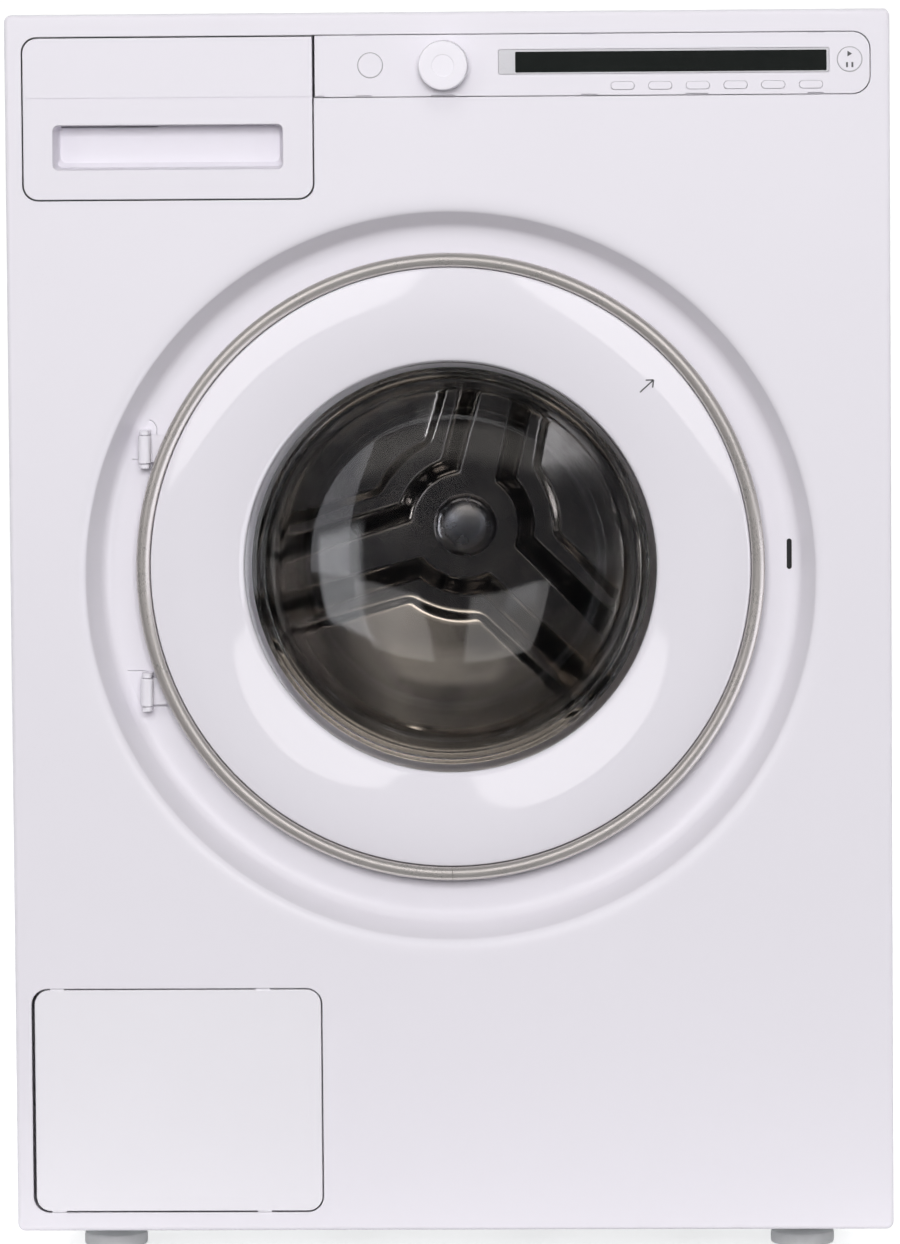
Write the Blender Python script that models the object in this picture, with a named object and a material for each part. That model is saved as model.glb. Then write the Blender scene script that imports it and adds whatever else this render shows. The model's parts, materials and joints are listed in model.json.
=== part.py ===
"""Front-loading washing machine, modelled piece by piece at its real size.

Metres, +Z up. The front faces -Y, X runs from the left edge to the right one, and the origin
is on the floor under the middle of the cabinet. Depths are counted back from the front panel's face.
The drum's radius sets the width: the tub runs round it, the cabinet round the tub, and the door
with its recess fills the width. Heights build up from the feet over the hatch, the door and the
drawer to the worktop, and depths from the tub's front over the drum and the drive to the back.
"""
import math

import bmesh
import bpy
from mathutils import Matrix, Vector

# Clearances and sheet
sheet = 0.0012
overrun = 0.004
seat_gap = 0.0003
running_gap = 0.0005
panel_gap = 0.0008

# Facets round a full turn
turns_large = 32
turns_drum = 28
turns_medium = 18
turns_small = 12
turns_tiny = 8

# Drum
drum_radius = 0.240
drum_length = 0.313
drum_wall = 0.0008
drum_back_wall = 0.0012
drum_lip_radius = 0.006
drum_lip_reach = 0.008

# Outer tub
tub_drum_gap = 0.024
tub_radius = drum_radius + tub_drum_gap
tub_wall = 0.0020
tub_front_depth = 0.078
tub_front_gap = 0.014
drum_front_depth = tub_front_depth + tub_front_gap
drum_back_depth = drum_front_depth + drum_length
tub_back_gap = 0.027
tub_back_depth = drum_back_depth + tub_back_gap
tub_flange_height = 0.006
tub_travel_down = 0.010

# Drive, behind the tub
hub_length = 0.060
hub_back_depth = tub_back_depth + hub_length
pulley_gap = 0.020
pulley_depth = hub_back_depth + pulley_gap
pulley_width = 0.016

# Overall sizes
tub_side_gap = 0.0335
side_x = tub_radius + tub_side_gap
back_room = 0.057
cabinet_depth = pulley_depth + pulley_width + back_room
floor_gap = 0.0245
face_y = -cabinet_depth / 2
back_y = cabinet_depth / 2

# Recess of the front panel, from its edge to the door opening
panel_corner_radius = 0.005
panel_fold_radius = 0.003
panel_flange = 0.018
recess_drop = 0.0056
recess_side_margin = 0.0395
recess_round = 0.012
recess_wall_lean = 0.0095
recess_foot_round = 0.003
rim_flat_radius = side_x - recess_side_margin
rim_radius = rim_flat_radius - recess_round
wall_foot_radius = rim_radius - recess_wall_lean
recess_floor_radius = wall_foot_radius - recess_foot_round
rim_shoulder_depth = 0.0035
recess_depth = 0.026
recess_foot_height = 0.0025
wall_foot_depth = recess_depth - recess_foot_height
opening_lip = 0.008
ray_slack_share = 0.000001
opening_lip_depth = recess_depth + opening_lip

# Door rings, nested from the recess inwards
trim_recess_gap = 0.0207
trim_width = 0.0093
trim_outer_radius = recess_floor_radius - trim_recess_gap
trim_inner_radius = trim_outer_radius - trim_width
trim_crown_depth = 0.0055
trim_back_depth = 0.0205
trim_round_share = 0.9
front_ring_outer_width = 0.0235
front_ring_inner_width = 0.0405
front_ring_crown_radius = trim_inner_radius - front_ring_outer_width
front_ring_inner_radius = front_ring_crown_radius - front_ring_inner_width
front_ring_edge_depth = 0.0085
front_ring_crown_depth = 0.0060
front_ring_inner_depth = 0.0120
front_ring_wall = 0.003
front_ring_shares = (0.35, 0.7)
opening_cover = 0.0255
door_opening_radius = trim_inner_radius - opening_cover

# Door glass, from its rim to its tip
glass_rim_gap = 0.0025
glass_neck_taper = 0.0105
glass_belly_taper = 0.0085
glass_nose_taper = 0.036
glass_rim_radius = front_ring_inner_radius - glass_rim_gap
glass_neck_radius = glass_rim_radius - glass_neck_taper
glass_belly_radius = glass_neck_radius - glass_belly_taper
glass_nose_radius = glass_belly_radius - glass_nose_taper
glass_wall = 0.005
glass_neck_depth = 0.030
glass_belly_depth = 0.078
glass_nose_depth = 0.112
glass_tip_depth = 0.121
glass_flange_depth = 0.020

# Inner frame and seal of the door
inner_frame_gap = 0.0045
inner_frame_radius = door_opening_radius - inner_frame_gap
inner_frame_plate = 0.004
inner_frame_depth = 0.046
inner_frame_wall = 0.003
seal_inset = 0.0065
seal_radius = inner_frame_radius - seal_inset
seal_width = 0.013
seal_lip_width = 0.005

# Tub collar and drum mouth behind the seal
collar_seal_lap = 0.011
collar_flange_lap = 0.017
mouth_gap = 0.004
collar_radius = seal_radius - collar_seal_lap
collar_flange_radius = seal_radius + collar_flange_lap
drum_mouth_radius = collar_radius + mouth_gap
collar_depth = 0.0516
collar_wall = 0.0015
collar_tuck = 0.008
collar_back_depth = tub_front_depth + collar_tuck

# Heights, from the feet to the worktop
hatch_margin = 0.0133
hatch_height = 0.1519
hatch_bottom = floor_gap + hatch_margin
hatch_top = hatch_bottom + hatch_height
hatch_recess_gap = 0.0393
door_height = hatch_top + hatch_recess_gap + rim_radius
recess_drawer_gap = 0.0041
drawer_height = 0.1092
drawer_bottom = door_height + rim_radius + recess_drawer_gap
drawer_top = drawer_bottom + drawer_height
drawer_seam_rise = 0.0683
drawer_seam_height = drawer_bottom + drawer_seam_rise
fascia_seam_drop = 0.0005
fascia_drawer_step = 0.0006
fascia_bottom = drawer_seam_height - fascia_seam_drop
fascia_top = drawer_top + fascia_drawer_step
fascia_head = 0.0151
cabinet_height = fascia_top + fascia_head

# Door hinge, its axis upright at the left of the recess
hinge_depth = 0.0125
hinge_upper_rise = 0.0810
hinge_lower_drop = 0.0840
hinge_ring_gap = 0.00972
hinge_x = -math.sqrt(trim_outer_radius ** 2 - hinge_upper_rise ** 2) - hinge_ring_gap
hinge_upper_height = door_height + hinge_upper_rise
hinge_lower_height = door_height - hinge_lower_drop
hinge_barrel_radius = 0.0060
hinge_barrel_height = 0.0190
hinge_pin_radius = 0.0025
hinge_ear_thickness = 0.0028
hinge_ear_radius = 0.0048
hinge_tab_width = 0.0170
hinge_plate_thickness = 0.0020
hinge_plate_width = 0.030
hinge_plate_margin = 0.020
hinge_arm_thickness = 0.0035
hinge_leaf_margin = 0.006

# Door lock and latch
lock_slot_inset = 0.0043
lock_slot_rise = 0.0068
lock_slot_x = recess_floor_radius - lock_slot_inset
lock_slot_height = door_height + lock_slot_rise
lock_slot_width = 0.0034
lock_slot_length = 0.0208
latch_inset = 0.0135
latch_x = trim_inner_radius - latch_inset
latch_width = 0.0030
latch_height = 0.0140
latch_reach = 0.0160
latch_barb = 0.0040
latch_slot_width = 0.0130
latch_slot_height = 0.0200
lock_width = 0.060
lock_height = 0.090
lock_depth = 0.022
lock_cavity_depth = 0.016
lock_tab_proud = 0.0006

# Control fascia, its display and its keys, placed from the right and from the top
fascia_margin = 0.0131
fascia_right = side_x - fascia_margin
fascia_corner_radius = 0.012
fascia_thickness = 0.0140
fascia_skin = 0.0030
fascia_wall = 0.0020
display_inset = 0.0273
display_width = 0.2222
display_drop = 0.0104
display_height = 0.0170
display_right = fascia_right - display_inset
display_left = display_right - display_width
display_top = fascia_top - display_drop
display_bottom = display_top - display_height
display_corner_radius = 0.0012
display_sink = 0.0004
display_thickness = 0.0018

# Programme knob
knob_display_gap = 0.0367
knob_drop = 0.0208
knob_x = display_left - knob_display_gap
knob_height = fascia_top - knob_drop
knob_radius = 0.0170
knob_proud = 0.0165
knob_face_radius = 0.0155
knob_edge = 0.0015
knob_inset_radius = 0.0074
knob_inset_depth = 0.0006
knob_stem_radius = 0.0050
knob_stem_depth = 0.0125
knob_skirt_gap = 0.0006

# Buttons
power_knob_gap = 0.0492
power_rise = 0.0003
power_x = knob_x - power_knob_gap
power_height = knob_height + power_rise
power_radius = 0.0082
start_inset = 0.0138
start_drop = 0.0187
start_x = fascia_right - start_inset
start_height = fascia_top - start_drop
start_radius = 0.0081
option_count = 6
option_pitch = 0.02525
option_inset = 0.01245
option_rise = 0.0067
option_first_x = display_right - option_inset - (option_count - 1) * option_pitch
option_height = fascia_bottom + option_rise
option_width = 0.0162
option_tall = 0.0060
button_gap = 0.0004
button_length = 0.0085
button_proud = 0.0003
button_flange = 0.0012
button_flange_thickness = 0.0015

# Detergent drawer, from the left edge to the first button
drawer_margin = 0.0120
drawer_power_gap = 0.0388
drawer_left = drawer_margin - side_x
drawer_right = power_x - drawer_power_gap
drawer_corner_radius = 0.010
drawer_gap = 0.0022
drawer_seam_width = 0.0007
drawer_seam_depth = 0.0010
drawer_front_thickness = 0.030
handle_left_margin = 0.0206
handle_right_margin = 0.0208
handle_foot = 0.0207
handle_height = 0.0293
handle_left = drawer_left + handle_left_margin
handle_right = drawer_right - handle_right_margin
handle_bottom = drawer_bottom + handle_foot
handle_top = handle_bottom + handle_height
handle_depth = 0.0240
handle_corner_radius = 0.0035
tray_depth = 0.300
tray_wall = 0.0022
tray_side_gap = 0.006
tray_foot = 0.0269
tray_head = 0.0143
tray_bottom = drawer_bottom + tray_foot
tray_top = drawer_top - tray_head
tray_divider_shares = (0.40, 0.70)
housing_wall = 0.0025
housing_gap = 0.0030
housing_roof = 0.0025

# Service hatch and its frame
hatch_side_margin = 0.0129
hatch_width = 0.1952
hatch_left = hatch_side_margin - side_x
hatch_right = hatch_left + hatch_width
hatch_corner_radius = 0.010
hatch_gap = 0.0022
hatch_thickness = 0.0040
hatch_hinge_inset = 0.0158
hatch_hinge_x = hatch_left + hatch_hinge_inset
hatch_hinge_depth = 0.0075
hatch_lug_width = 0.0095
hatch_lug_height = 0.0080
hatch_lug_inset = 0.0030
hatch_pin_radius = 0.0018
hatch_catch_inset = 0.0396
hatch_catch_x = hatch_right - hatch_catch_inset
hatch_catch_reach = 0.0080
hatch_catch_thickness = 0.0018
hatch_mark_inset = 0.0094
hatch_mark_rise = 0.0752
hatch_mark_x = hatch_right - hatch_mark_inset
hatch_mark_height = hatch_bottom + hatch_mark_rise
hatch_mark_length = 0.0200
hatch_mark_width = 0.0006
hatch_mark_depth = 0.0003
frame_wall = 0.0022
frame_cavity_depth = 0.044
frame_side_clearance = 0.006

# Filter and drain pump behind the hatch
filter_inset = 0.0606
filter_rise = 0.0702
filter_x = hatch_right - filter_inset
filter_height = hatch_bottom + filter_rise
filter_radius = 0.034
filter_cap_thickness = 0.008
filter_grip_width = 0.010
filter_grip_depth = 0.016
filter_neck_radius = 0.027
filter_neck_depth = 0.055
filter_cage_radius = 0.022
filter_sit_depth = 0.030
pump_radius = 0.036
pump_depth = 0.085
pump_bore_gap = 0.0010
pump_motor_radius = 0.030
pump_motor_length = 0.060
pump_inlet_radius = 0.017
pump_inlet_rise = 0.044
pump_inlet_height = filter_height + pump_inlet_rise
hose_radius = 0.019
hose_rib = 0.003
hose_ribs = 7
hose_wall = 0.002

# Cabinet shell, worktop and back cover
shell_lip = 0.012
shell_inset = 0.0015
back_opening_margin = 0.1075
back_opening_foot = 0.0955
back_opening_head = 0.150
back_opening_right = side_x - back_opening_margin
back_opening_left = -back_opening_right
back_opening_bottom = floor_gap + back_opening_foot
back_opening_top = cabinet_height - back_opening_head
back_cover_lap = 0.015
back_cover_rib_count = 3
back_cover_rib_height = 0.006
back_cover_rib_width = 0.040
worktop_thickness = 0.0145
worktop_wall = 0.002
worktop_edge_radius = 0.003

# Base and feet
base_height = 0.022
base_wall_height = 0.030
base_thickness = 0.0020
base_clearance = 0.0003
base_rib_width = 0.040
base_rib_height = 0.010
base_rib_margin = 0.020
foot_radius = 0.022
foot_pad_height = 0.010
foot_neck_radius = 0.008
foot_nut_radius = 0.011
foot_nut_height = 0.007
foot_top = 0.040
foot_side_inset = 0.060
foot_front_inset = 0.090
foot_back_inset = 0.045
foot_edge = 0.002

# Back of the tub, its sump and its damper lugs
sump_radius = 0.030
sump_drop = 0.015
sump_bottom = door_height - tub_radius - sump_drop
hub_radius = 0.052
hub_taper_share = 0.8
hub_web_inset = 0.079
hub_web_height = 0.014
hub_web_radius = tub_radius - hub_web_inset
hub_web_depth = tub_back_depth + hub_web_height
damper_lug_width = 0.034
damper_lug_length = 0.044

# Dampers
damper_inset = 0.042
damper_front_inset = 0.137
damper_back_inset = 0.032
damper_x = tub_radius - damper_inset
damper_front_depth = tub_front_depth + damper_front_inset
damper_back_depth = tub_back_depth - damper_back_inset
damper_body_radius = 0.017
damper_body_height = 0.130
damper_wall = 0.0025
damper_foot_radius = 0.022
damper_foot_height = 0.006
damper_rod_radius = 0.008
damper_rod_dip = 0.070
base_outer_rib_x = damper_x - damper_foot_radius - base_rib_width / 2 - base_rib_margin
base_rib_places = (-0.07, 0.05, base_outer_rib_x)

# Pressed star, hub cap, lifters and shaft of the drum
star_arm_inset = 0.035
star_arm_length = drum_radius - star_arm_inset
star_arm_width = 0.044
star_arm_tip_width = 0.046
drum_turn = 76
star_height = 0.012
star_hub_radius = 0.062
drum_cap_radius = 0.0235
drum_cap_height = 0.013
drum_cap_shares = ((0.6, 0.12), (0.9, 0.4), (1, 0.8))
lifter_count = 3
lifter_height = 0.066
lifter_width = 0.120
lifter_margin = 0.018
lifter_wall = 0.0018
lifter_height_shares = (0.55, 0.92, 1, 0.96, 0.8)
shaft_radius = 0.0125
shaft_gap = 0.0004
spider_hub_radius = 0.030
spider_depth = 0.0115
spider_arm_width = 0.036

# Drum pulley, motor and belt
pulley_inset = 0.090
pulley_radius = drum_radius - pulley_inset
pulley_rim = 0.006
pulley_web = 0.003
pulley_hub_radius = 0.020
pulley_spokes = 5
pulley_window_foot = 0.014
pulley_window_head = 0.020
pulley_window_inner = pulley_hub_radius + pulley_window_foot
pulley_window_outer = pulley_radius - pulley_window_head
pulley_window_share = 0.62
motor_x = 0.070
motor_tub_drop = 0.086
motor_height = door_height - tub_radius - motor_tub_drop
motor_radius = 0.060
motor_length = 0.215
motor_back_reach = 0.028
motor_front_depth = tub_back_depth + motor_back_reach - motor_length
motor_end_radius = 0.040
motor_end_length = 0.012
motor_shaft_radius = 0.006
motor_pulley_radius = 0.011
belt_thickness = 0.0035
belt_width = 0.012
belt_gap = 0.0009
motor_hanger_width = 0.036
motor_hanger_thickness = 0.012

# Front counterweight
weight_inner_gap = 0.006
weight_outer_inset = 0.008
weight_inner_radius = collar_flange_radius + weight_inner_gap
weight_outer_radius = tub_radius - weight_outer_inset
weight_height = 0.032
weight_front_depth = tub_front_depth - weight_height
weight_open_angle = 70

# Heating element
heater_radius = 0.0035
heater_ring_inset = 0.0115
heater_ring_radius = tub_radius - heater_ring_inset
heater_spread = 0.022
heater_length = 0.210
heater_flange_width = 0.070
heater_flange_height = 0.016
heater_flange_thickness = 0.004

# Water inlet, drain outlet and cable gland on the back
fitting_margin = 0.0825
valve_head = 0.065
valve_x = side_x - fitting_margin
valve_height = cabinet_height - valve_head
valve_stub_radius = 0.0125
valve_stub_length = 0.0165
valve_bore_radius = 0.008
valve_body_size = 0.042
valve_body_depth = 0.060
drain_head = 0.090
drain_x = -valve_x
drain_height = cabinet_height - drain_head
drain_radius = 0.011
drain_bore_radius = 0.008
drain_length = 0.014
drain_plate_radius = 0.022
drain_plate_thickness = 0.002
gland_pitch = 0.085
gland_x = drain_x + gland_pitch
gland_height = valve_height
gland_radius = 0.009
gland_bore_radius = 0.0045
gland_length = 0.012
gland_plate_radius = 0.013


def depth(value):
    """Y of a place that lies this far behind the front panel's face."""
    return face_y + value


def material(name, color, roughness, metallic=0.0, alpha=1.0):
    """Material with one Principled shader, made once for each name."""
    made = bpy.data.materials.get(name)
    if made:
        return made
    made = bpy.data.materials.new(name)
    made.use_nodes = True
    shader = made.node_tree.nodes["Principled BSDF"]
    shader.inputs["Base Color"].default_value = (*color, 1.0)
    shader.inputs["Roughness"].default_value = roughness
    shader.inputs["Metallic"].default_value = metallic
    shader.inputs["Alpha"].default_value = alpha
    return made


def enamel():
    return material("white_enamel", (0.80, 0.79, 0.82), 0.35)


def white_plastic():
    return material("white_plastic", (0.82, 0.81, 0.84), 0.30)


def grey_plastic():
    return material("grey_plastic", (0.45, 0.45, 0.47), 0.45)


def black_plastic():
    return material("black_plastic", (0.02, 0.02, 0.02), 0.30)


def stainless():
    return material("stainless_steel", (0.60, 0.59, 0.58), 0.28, 1.0)


def trim_steel():
    return material("trim_steel", (0.66, 0.64, 0.62), 0.30, 1.0)


def zinc():
    return material("zinc_plate", (0.55, 0.56, 0.57), 0.40, 1.0)


def cast():
    return material("cast_metal", (0.30, 0.30, 0.31), 0.60, 1.0)


def ballast():
    return material("ballast_iron", (0.10, 0.10, 0.11), 0.75, 0.8)


def rubber():
    return material("black_rubber", (0.03, 0.03, 0.03), 0.70)


def glass():
    return material("door_glass", (0.85, 0.87, 0.88), 0.05, 0.0, 0.35)


def finish_object(name, mesh, look, origin, parent, angle):
    """Object around a mesh that is in world places, its origin moved to the given point."""
    mesh.transform(Matrix.Translation(-Vector(origin)))
    mesh.materials.append(look)
    mesh.shade_smooth()
    mesh.set_sharp_from_angle(angle=math.radians(angle))
    made = bpy.data.objects.new(name, mesh)
    bpy.context.scene.collection.objects.link(made)
    made.location = origin
    if parent:
        made.parent = parent
        made.location = Vector(origin) - parent.location
    return made


def piece(name, form, look, origin=(0, 0, 0), parent=None, angle=35):
    """Named sub-part from a bmesh form."""
    bmesh.ops.remove_doubles(form, verts=form.verts, dist=seat_gap / 10)
    bmesh.ops.recalc_face_normals(form, faces=form.faces)
    mesh = bpy.data.meshes.new(name)
    form.to_mesh(mesh)
    form.free()
    return finish_object(name, mesh, look, origin, parent, angle)


def cutter(form):
    """Guide object that only cuts others."""
    made = piece("cutter", form, black_plastic())
    made.hide_render = True
    made.display_type = "WIRE"
    return made


def combine(target, form, operation):
    """Boolean step on a piece with a form as the other solid."""
    tool = cutter(form)
    step = target.modifiers.new(operation.lower(), "BOOLEAN")
    step.operation = operation
    step.solver = "EXACT"
    step.object = tool
    return target


def cut(target, form):
    return combine(target, form, "DIFFERENCE")


def join(target, form):
    return combine(target, form, "UNION")


def moved(form, offset):
    bmesh.ops.translate(form, verts=form.verts, vec=Vector(offset))
    return form


def turned(form, angle, axis, centre):
    bmesh.ops.rotate(form, verts=form.verts, cent=Vector(centre), matrix=Matrix.Rotation(angle, 3, axis))
    return form


def rounded_outline(left, right, bottom, top, radius, steps=3, square=()):
    """Corner-rounded rectangle as points, counter-clockwise from its lower right corner."""
    corners = (("BR", right, bottom, -90), ("TR", right, top, 0), ("TL", left, top, 90), ("BL", left,
                                                                                          bottom, 180))
    points = []
    for tag, x, z, start in corners:
        if tag in square or radius <= 0:
            points.append((x, z))
            continue
        cx = x - radius if tag in ("BR", "TR") else x + radius
        cz = z - radius if tag in ("TR", "TL") else z + radius
        for i in range(steps + 1):
            a = math.radians(start + 90 * i / steps)
            points.append((cx + radius * math.cos(a), cz + radius * math.sin(a)))
    return points



def place(axis, u, v, w):
    """World point of an outline's (u, v) at the height w along the axis."""
    if axis == "Y":
        return (u, w, v)
    if axis == "Z":
        return (u, v, w)
    return (w, u, v)


def prism(outline, low, high, axis="Y"):
    """Outline pulled straight along an axis."""
    form = bmesh.new()
    lower = [form.verts.new(place(axis, u, v, low)) for u, v in outline]
    upper = [form.verts.new(place(axis, u, v, high)) for u, v in outline]
    form.faces.new(lower)
    form.faces.new(reversed(upper))
    count = len(outline)
    for i in range(count):
        j = (i + 1) % count
        form.faces.new((lower[i], upper[i], upper[j], lower[j]))
    bmesh.ops.recalc_face_normals(form, faces=form.faces)
    return form


def block(x0, x1, y0, y1, z0, z1):
    return prism([(x0, z0), (x1, z0), (x1, z1), (x0, z1)], y0, y1)


def turned_profile(profile, centre, count, axis="Y", closed=False, start=0.0, sweep=math.tau):
    """Solid turned round an axis through the centre; a profile is (radius, place along the axis)."""
    form = bmesh.new()
    whole = abs(sweep - math.tau) < seat_gap
    rings = count if whole else count + 1
    loops = []
    for i in range(rings):
        a = start + sweep * i / count
        ring = []
        for radius, along in profile:
            u = radius * math.cos(a)
            v = radius * math.sin(a)
            x, y, z = place(axis, u, v, along)
            ring.append(form.verts.new((x + centre[0], y + centre[1], z + centre[2])))
        loops.append(ring)
    spans = len(profile) if closed else len(profile) - 1
    for i in range(count):
        here = loops[i]
        there = loops[(i + 1) % rings]
        for k in range(spans):
            m = (k + 1) % len(profile)
            corners = [here[k], here[m], there[m], there[k]]
            form.faces.new(corners)
    if not whole:
        form.faces.new(loops[0])
        form.faces.new(reversed(loops[-1]))
    bmesh.ops.remove_doubles(form, verts=form.verts, dist=seat_gap / 10)
    bmesh.ops.dissolve_degenerate(form, edges=form.edges, dist=seat_gap / 10)
    bmesh.ops.recalc_face_normals(form, faces=form.faces)
    return form


def disc(x, z, radius, low, high, count):
    """Plain round bar along Y."""
    return turned_profile([(0, low), (radius, low), (radius, high), (0, high)], (x, 0, z), count)


def post(x, y, radius, low, high, count):
    """Plain round bar along Z."""
    return turned_profile([(0, low), (radius, low), (radius, high), (0, high)], (x, y, 0), count, "Z")


def arc(cu, cv, radius, first, last, steps):
    """Points on an arc, angles in degrees."""
    spread = last - first
    return [(cu + radius * math.cos(math.radians(first + spread * i / steps)),
             cv + radius * math.sin(math.radians(first + spread * i / steps))) for i in range(steps + 1)]


def pivot(name, location):
    """Empty on a joint's axis, which carries the pieces that move with it."""
    made = bpy.data.objects.new(name, None)
    made.location = location
    bpy.context.scene.collection.objects.link(made)
    return made


def ray_reach(angle, outline, centre):
    """Distance from the centre to a closed outline along a ray."""
    direction = (math.cos(angle), math.sin(angle))
    reach = 0.0
    for (u0, v0), (u1, v1) in zip(outline, outline[1:] + outline[:1]):
        a = (u0 - centre[0], v0 - centre[1])
        b = (u1 - centre[0], v1 - centre[1])
        side_a = direction[0] * a[1] - direction[1] * a[0]
        side_b = direction[0] * b[1] - direction[1] * b[0]
        if side_a == side_b:
            continue
        share = side_a / (side_a - side_b)
        if share < -ray_slack_share or share > 1 + ray_slack_share:
            continue
        u = a[0] + share * (b[0] - a[0])
        v = a[1] + share * (b[1] - a[1])
        along = u * direction[0] + v * direction[1]
        reach = max(reach, along)
    return reach


def panel_outline(inset):
    radius = panel_corner_radius - min(inset, panel_corner_radius - seat_gap)
    return rounded_outline(-side_x + inset, side_x - inset, floor_gap + inset, cabinet_height - inset,
                           radius, 2)


def panel_section():
    """Rows of the front panel from its folded edge to the door opening, then back behind the sheet."""
    fold = panel_fold_radius
    fold_share = 1 - math.sqrt(0.5)
    shoulder = (rim_radius + rim_flat_radius) / 2
    shoulder_depth = rim_shoulder_depth / 4
    mouth = door_opening_radius
    front = [("box", 0, panel_flange), ("box", 0, fold), ("box", fold * fold_share, fold * fold_share),
             ("box", fold, 0), ("rim", rim_flat_radius, 0), ("rim", shoulder, shoulder_depth),
             ("rim", rim_radius, rim_shoulder_depth), ("rim", wall_foot_radius, wall_foot_depth),
             ("rim", recess_floor_radius, recess_depth), ("door", mouth, recess_depth),
             ("door", mouth, opening_lip_depth)]
    back = [("door", mouth + sheet, opening_lip_depth), ("door", mouth + sheet, recess_depth + sheet),
            ("rim", recess_floor_radius + sheet / 2, recess_depth + sheet),
            ("rim", wall_foot_radius + sheet, wall_foot_depth + sheet / 2),
            ("rim", rim_radius + sheet, rim_shoulder_depth + sheet / 2),
            ("rim", rim_flat_radius, sheet),
            ("box", fold, sheet), ("box", sheet, fold), ("box", sheet, panel_flange)]
    return front + back


def front_panel():
    centre = (0, door_height - recess_drop)
    corners = [math.atan2(v - centre[1], u - centre[0]) % math.tau for u, v in panel_outline(0)]
    regular = [math.tau * i / turns_large for i in range(turns_large)]
    near = math.tau / turns_large / 4
    angles = corners + [a for a in regular if min(abs(a - c) for c in corners) > near]
    angles.sort()
    section = panel_section()
    outlines = {inset: panel_outline(inset) for kind, inset, _ in section if kind == "box"}
    form = bmesh.new()
    loops = []
    for a in angles:
        loop = []
        for kind, size, back in section:
            reach = ray_reach(a, outlines[size], centre) if kind == "box" else size
            middle = door_height if kind == "door" else centre[1]
            loop.append(form.verts.new((reach * math.cos(a), depth(back), middle + reach * math.sin(a))))
        loops.append(loop)
    for here, there in zip(loops, loops[1:] + loops[:1]):
        for k in range(len(section)):
            m = (k + 1) % len(section)
            form.faces.new((here[k], here[m], there[m], there[k]))
    made = piece("front_panel", form, enamel())
    cut_front_panel(made)
    return made


def cut_front_panel(panel):
    low = depth(-overrun)
    high = depth(sheet + overrun)
    gap = drawer_gap
    drawer = rounded_outline(drawer_left - gap, drawer_right + gap, drawer_bottom - gap, drawer_top + gap,
                             drawer_corner_radius + gap, square=("TR",))
    cut(panel, prism(drawer, low, high))
    gap = panel_gap
    fascia = rounded_outline(drawer_right, fascia_right + gap, fascia_bottom - gap, fascia_top + gap,
                             fascia_corner_radius + gap, square=("TL", "BL"))
    cut(panel, prism(fascia, low, high))
    cut(panel, prism(hatch_opening(), low, high))
    low = depth(recess_depth - overrun / 2)
    high = depth(recess_depth + sheet + overrun)
    cut(panel, prism(slot_outline(lock_slot_x, lock_slot_height, lock_slot_width, lock_slot_length, 0),
                     low, high))
    cut(panel, block(latch_x - latch_slot_width / 2 + latch_barb / 2,
                     latch_x + latch_slot_width / 2 + latch_barb / 2,
                     low, high, door_height - latch_slot_height / 2, door_height + latch_slot_height / 2))
    for height in (hinge_upper_height, hinge_lower_height):
        cut(panel, prism(hinge_tab_outline(height, running_gap), low, high))


def hatch_opening():
    gap = hatch_gap
    return rounded_outline(hatch_left - gap, hatch_right + gap, hatch_bottom - gap, hatch_top + gap,
                           hatch_corner_radius + gap)


def slot_outline(x, z, width, length, gap):
    half = width / 2 - gap
    return rounded_outline(x - half, x + half, z - length / 2 + gap, z + length / 2 - gap, half)


def hinge_tab_outline(height, gap):
    half = hinge_barrel_height / 2 + hinge_ear_thickness + running_gap + gap
    left = hinge_x - hinge_ear_radius - gap
    right = hinge_x + hinge_tab_width - hinge_ear_radius + gap
    return rounded_outline(left, right, height - half, height + half, hinge_ear_radius, square=("TL", "BL"))


def shell_outline():
    """Sheet bent round the left side, the back and the right side, with a stepped front lip."""
    step = shell_inset
    lip_start = panel_flange + panel_gap - shell_lip
    corner = panel_flange + panel_gap
    rear = cabinet_depth - sheet - seat_gap
    fold = panel_corner_radius
    right = [(side_x - step, lip_start), (side_x - step, corner), (side_x, corner), (side_x, rear - fold)]
    bend = [(side_x - fold + fold * math.sin(math.radians(a)), rear - fold + fold * math.cos(math.radians(a)))
            for a in (60, 30)]
    right = right + bend + [(side_x - fold, rear)]
    inner = [(side_x - step - sheet, lip_start), (side_x - step - sheet, corner + sheet),
             (side_x - sheet, corner + sheet), (side_x - sheet, rear - fold), (side_x - fold, rear - sheet)]
    outer_loop = right + [(-x, d) for x, d in reversed(right)]
    inner_loop = inner + [(-x, d) for x, d in reversed(inner)]
    return [(x, depth(d)) for x, d in outer_loop + list(reversed(inner_loop))]


def cabinet_shell():
    low = floor_gap
    high = cabinet_height - worktop_thickness - seat_gap
    made = piece("cabinet_shell", prism(shell_outline(), low, high, "Z"), enamel())
    notch = panel_corner_radius + sheet
    for side in (-side_x, side_x):
        cut(made, block(side - overrun, side + overrun, depth(0), depth(panel_flange + panel_gap),
                        low - overrun,
                        low + notch))
    front = back_y - sheet - overrun
    end = back_y + overrun
    cut(made, block(back_opening_left, back_opening_right, front, end, back_opening_bottom, back_opening_top))
    for x, z, radius in back_fittings():
        cut(made, disc(x, z, radius + running_gap, front, end, turns_small))
    return made


def back_fittings():
    """Places on the back where a fitting passes through the sheet."""
    return ((valve_x, valve_height, valve_stub_radius), (drain_x, drain_height, drain_radius),
            (gland_x, gland_height, gland_radius))


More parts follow.
